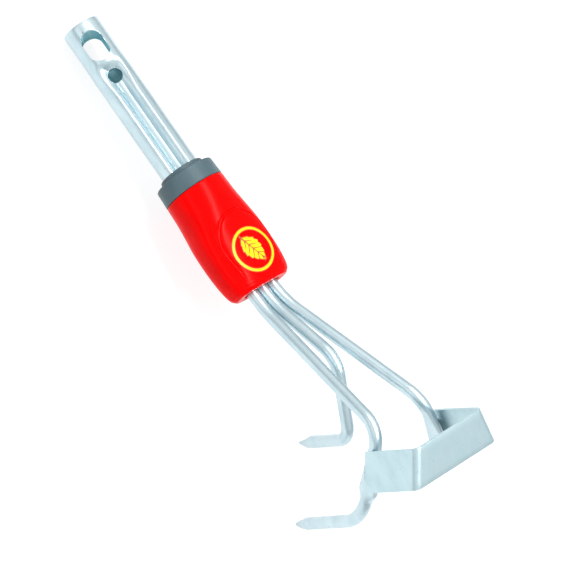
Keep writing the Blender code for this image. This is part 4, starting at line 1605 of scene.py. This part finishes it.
@dataclass
class Studio:
    """A pale floor, soft lights and the camera."""

    axes: ToolAxes
    centre: Vector
    lights: list[Softbox] = field(
        default_factory=lambda: [
            Softbox("overhead_strip", (0.0, 0.16, 1.6), 2.2, 0.3, 30.0),
            Softbox("front_box", (-0.5, -1.8, 0.85), 1.2, 0.3, 1.8),
        ]
    )
    aim: tuple[float, float, float] = (28.5 * MM, 25.5 * MM, -37.6 * MM)
    azimuth: float = radians(-0.95)
    elevation: float = radians(54.35)
    roll: float = radians(61.66)
    distance: float = 2.0
    lens: float = 202.1
    sky_top: str = "#FFFFFF"
    sky_low: str = "#1F505C"
    sky_strength: float = 1.0
    floor_glow: float = 0.79
    dome_glow: float = 0.55
    dome_radius: float = 6.0

    def paper(self, name: str, glow: float) -> bpy.types.Material:
        """Matt white paper lit from behind, so that it stays pale around the tool.

        Args:
            name: The material's name.
            glow: How strongly the light behind comes through.

        Returns:
            The material.
        """
        material = Moulding(
            self.axes, name, "#8A8C8D", "#878989", 0.8, 0.95, 2.5 * MM, 0.02 * MM, 0.1
        ).material()
        shader = material.node_tree.nodes["Principled BSDF"]
        shader.inputs["Emission Color"].default_value = (1.0, 1.0, 1.0, 1.0)
        shader.inputs["Emission Strength"].default_value = glow
        return material

    def build_floor(self) -> None:
        """Lay the floor, and hang a dome of paper around it that gives and blocks no light."""
        Bench.clear()
        bpy.ops.mesh.primitive_plane_add(size=9.0)
        floor = Bench.named("paper_floor")
        floor.data.materials.append(self.paper("lit_paper", self.floor_glow))
        floor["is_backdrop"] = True
        Bench.clear()
        bpy.ops.mesh.primitive_uv_sphere_add(segments=64, ring_count=32, radius=self.dome_radius)
        dome = Bench.named("paper_dome")
        dome.data.materials.append(self.paper("dim_lit_paper", self.dome_glow))
        dome.visible_diffuse = dome.visible_glossy = False
        dome.visible_transmission = dome.visible_shadow = False
        dome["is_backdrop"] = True

    def build_sky(self) -> None:
        """Surround the tool with a bright dome over a dim blue-green horizon."""
        world = bpy.data.worlds.new("studio_dome")
        world.use_nodes = True
        tree = world.node_tree
        tree.nodes.clear()
        where = add_node(tree, "ShaderNodeTexCoord")
        split = add_node(tree, "ShaderNodeSeparateXYZ", {0: where.outputs["Generated"]})
        height = add_node(
            tree,
            "ShaderNodeMapRange",
            {"Value": split.outputs[2], "From Min": 0.0, "From Max": 0.32},
            interpolation_type="SMOOTHSTEP",
        )
        colour = add_node(
            tree,
            "ShaderNodeMix",
            {0: height.outputs[0], 6: linear(self.sky_low), 7: linear(self.sky_top)},
            data_type="RGBA",
        )
        glow = add_node(
            tree,
            "ShaderNodeBackground",
            {"Color": colour.outputs[2], "Strength": self.sky_strength},
        )
        add_node(tree, "ShaderNodeOutputWorld", {"Surface": glow.outputs[0]})
        bpy.context.scene.world = world

    def build_camera(self) -> None:
        """Stand the camera in front of the tool, high up and rolled along it."""
        camera = bpy.data.cameras.new("camera")
        camera.lens = self.lens
        camera.clip_start, camera.clip_end = 0.05, 50.0
        eye = bpy.data.objects.new("camera", camera)
        bpy.context.scene.collection.objects.link(eye)
        flat = cos(self.elevation)
        towards = Vector((sin(self.azimuth) * flat, -cos(self.azimuth) * flat, sin(self.elevation)))
        eye.location = self.centre + Vector(self.aim) + towards * self.distance
        turned = towards.to_track_quat("Z", "Y").to_matrix().to_4x4()
        turned = turned @ Matrix.Rotation(self.roll, 4, "Z")
        eye.rotation_euler = turned.to_euler()
        bpy.context.scene.camera = eye

    def build(self) -> None:
        """Set the whole studio up."""
        self.build_floor()
        self.build_sky()
        for light in self.lights:
            light.build()
        self.build_camera()
        bpy.context.scene.view_settings.view_transform = "Standard"


# --- assembly ------------------------------------------------------------------------------------


def main() -> None:
    """Load the frame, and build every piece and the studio."""
    logging.basicConfig(level=logging.INFO, format="%(name)s: %(message)s")
    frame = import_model()
    cad_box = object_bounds()
    axes = ToolAxes.measure(frame["record"], Shank.diameter / 2)
    finishes = FinishSet.for_tool(axes)
    hoe = Hoe(axes, finishes)
    sleeve = Sleeve(axes, finishes)
    for part in (
        Shank(axes, finishes),
        Tines(axes, finishes, hoe),
        hoe,
        Collar(axes, finishes),
        sleeve,
        Badge(axes, finishes, sleeve),
        HiddenParts(frame["nodes"], finishes),
    ):
        part.build()
        LOG.info("%s is built", type(part).__name__)
    Studio(axes, (cad_box[0] + cad_box[1]) / 2).build()


if __name__ == "__main__":
    main()
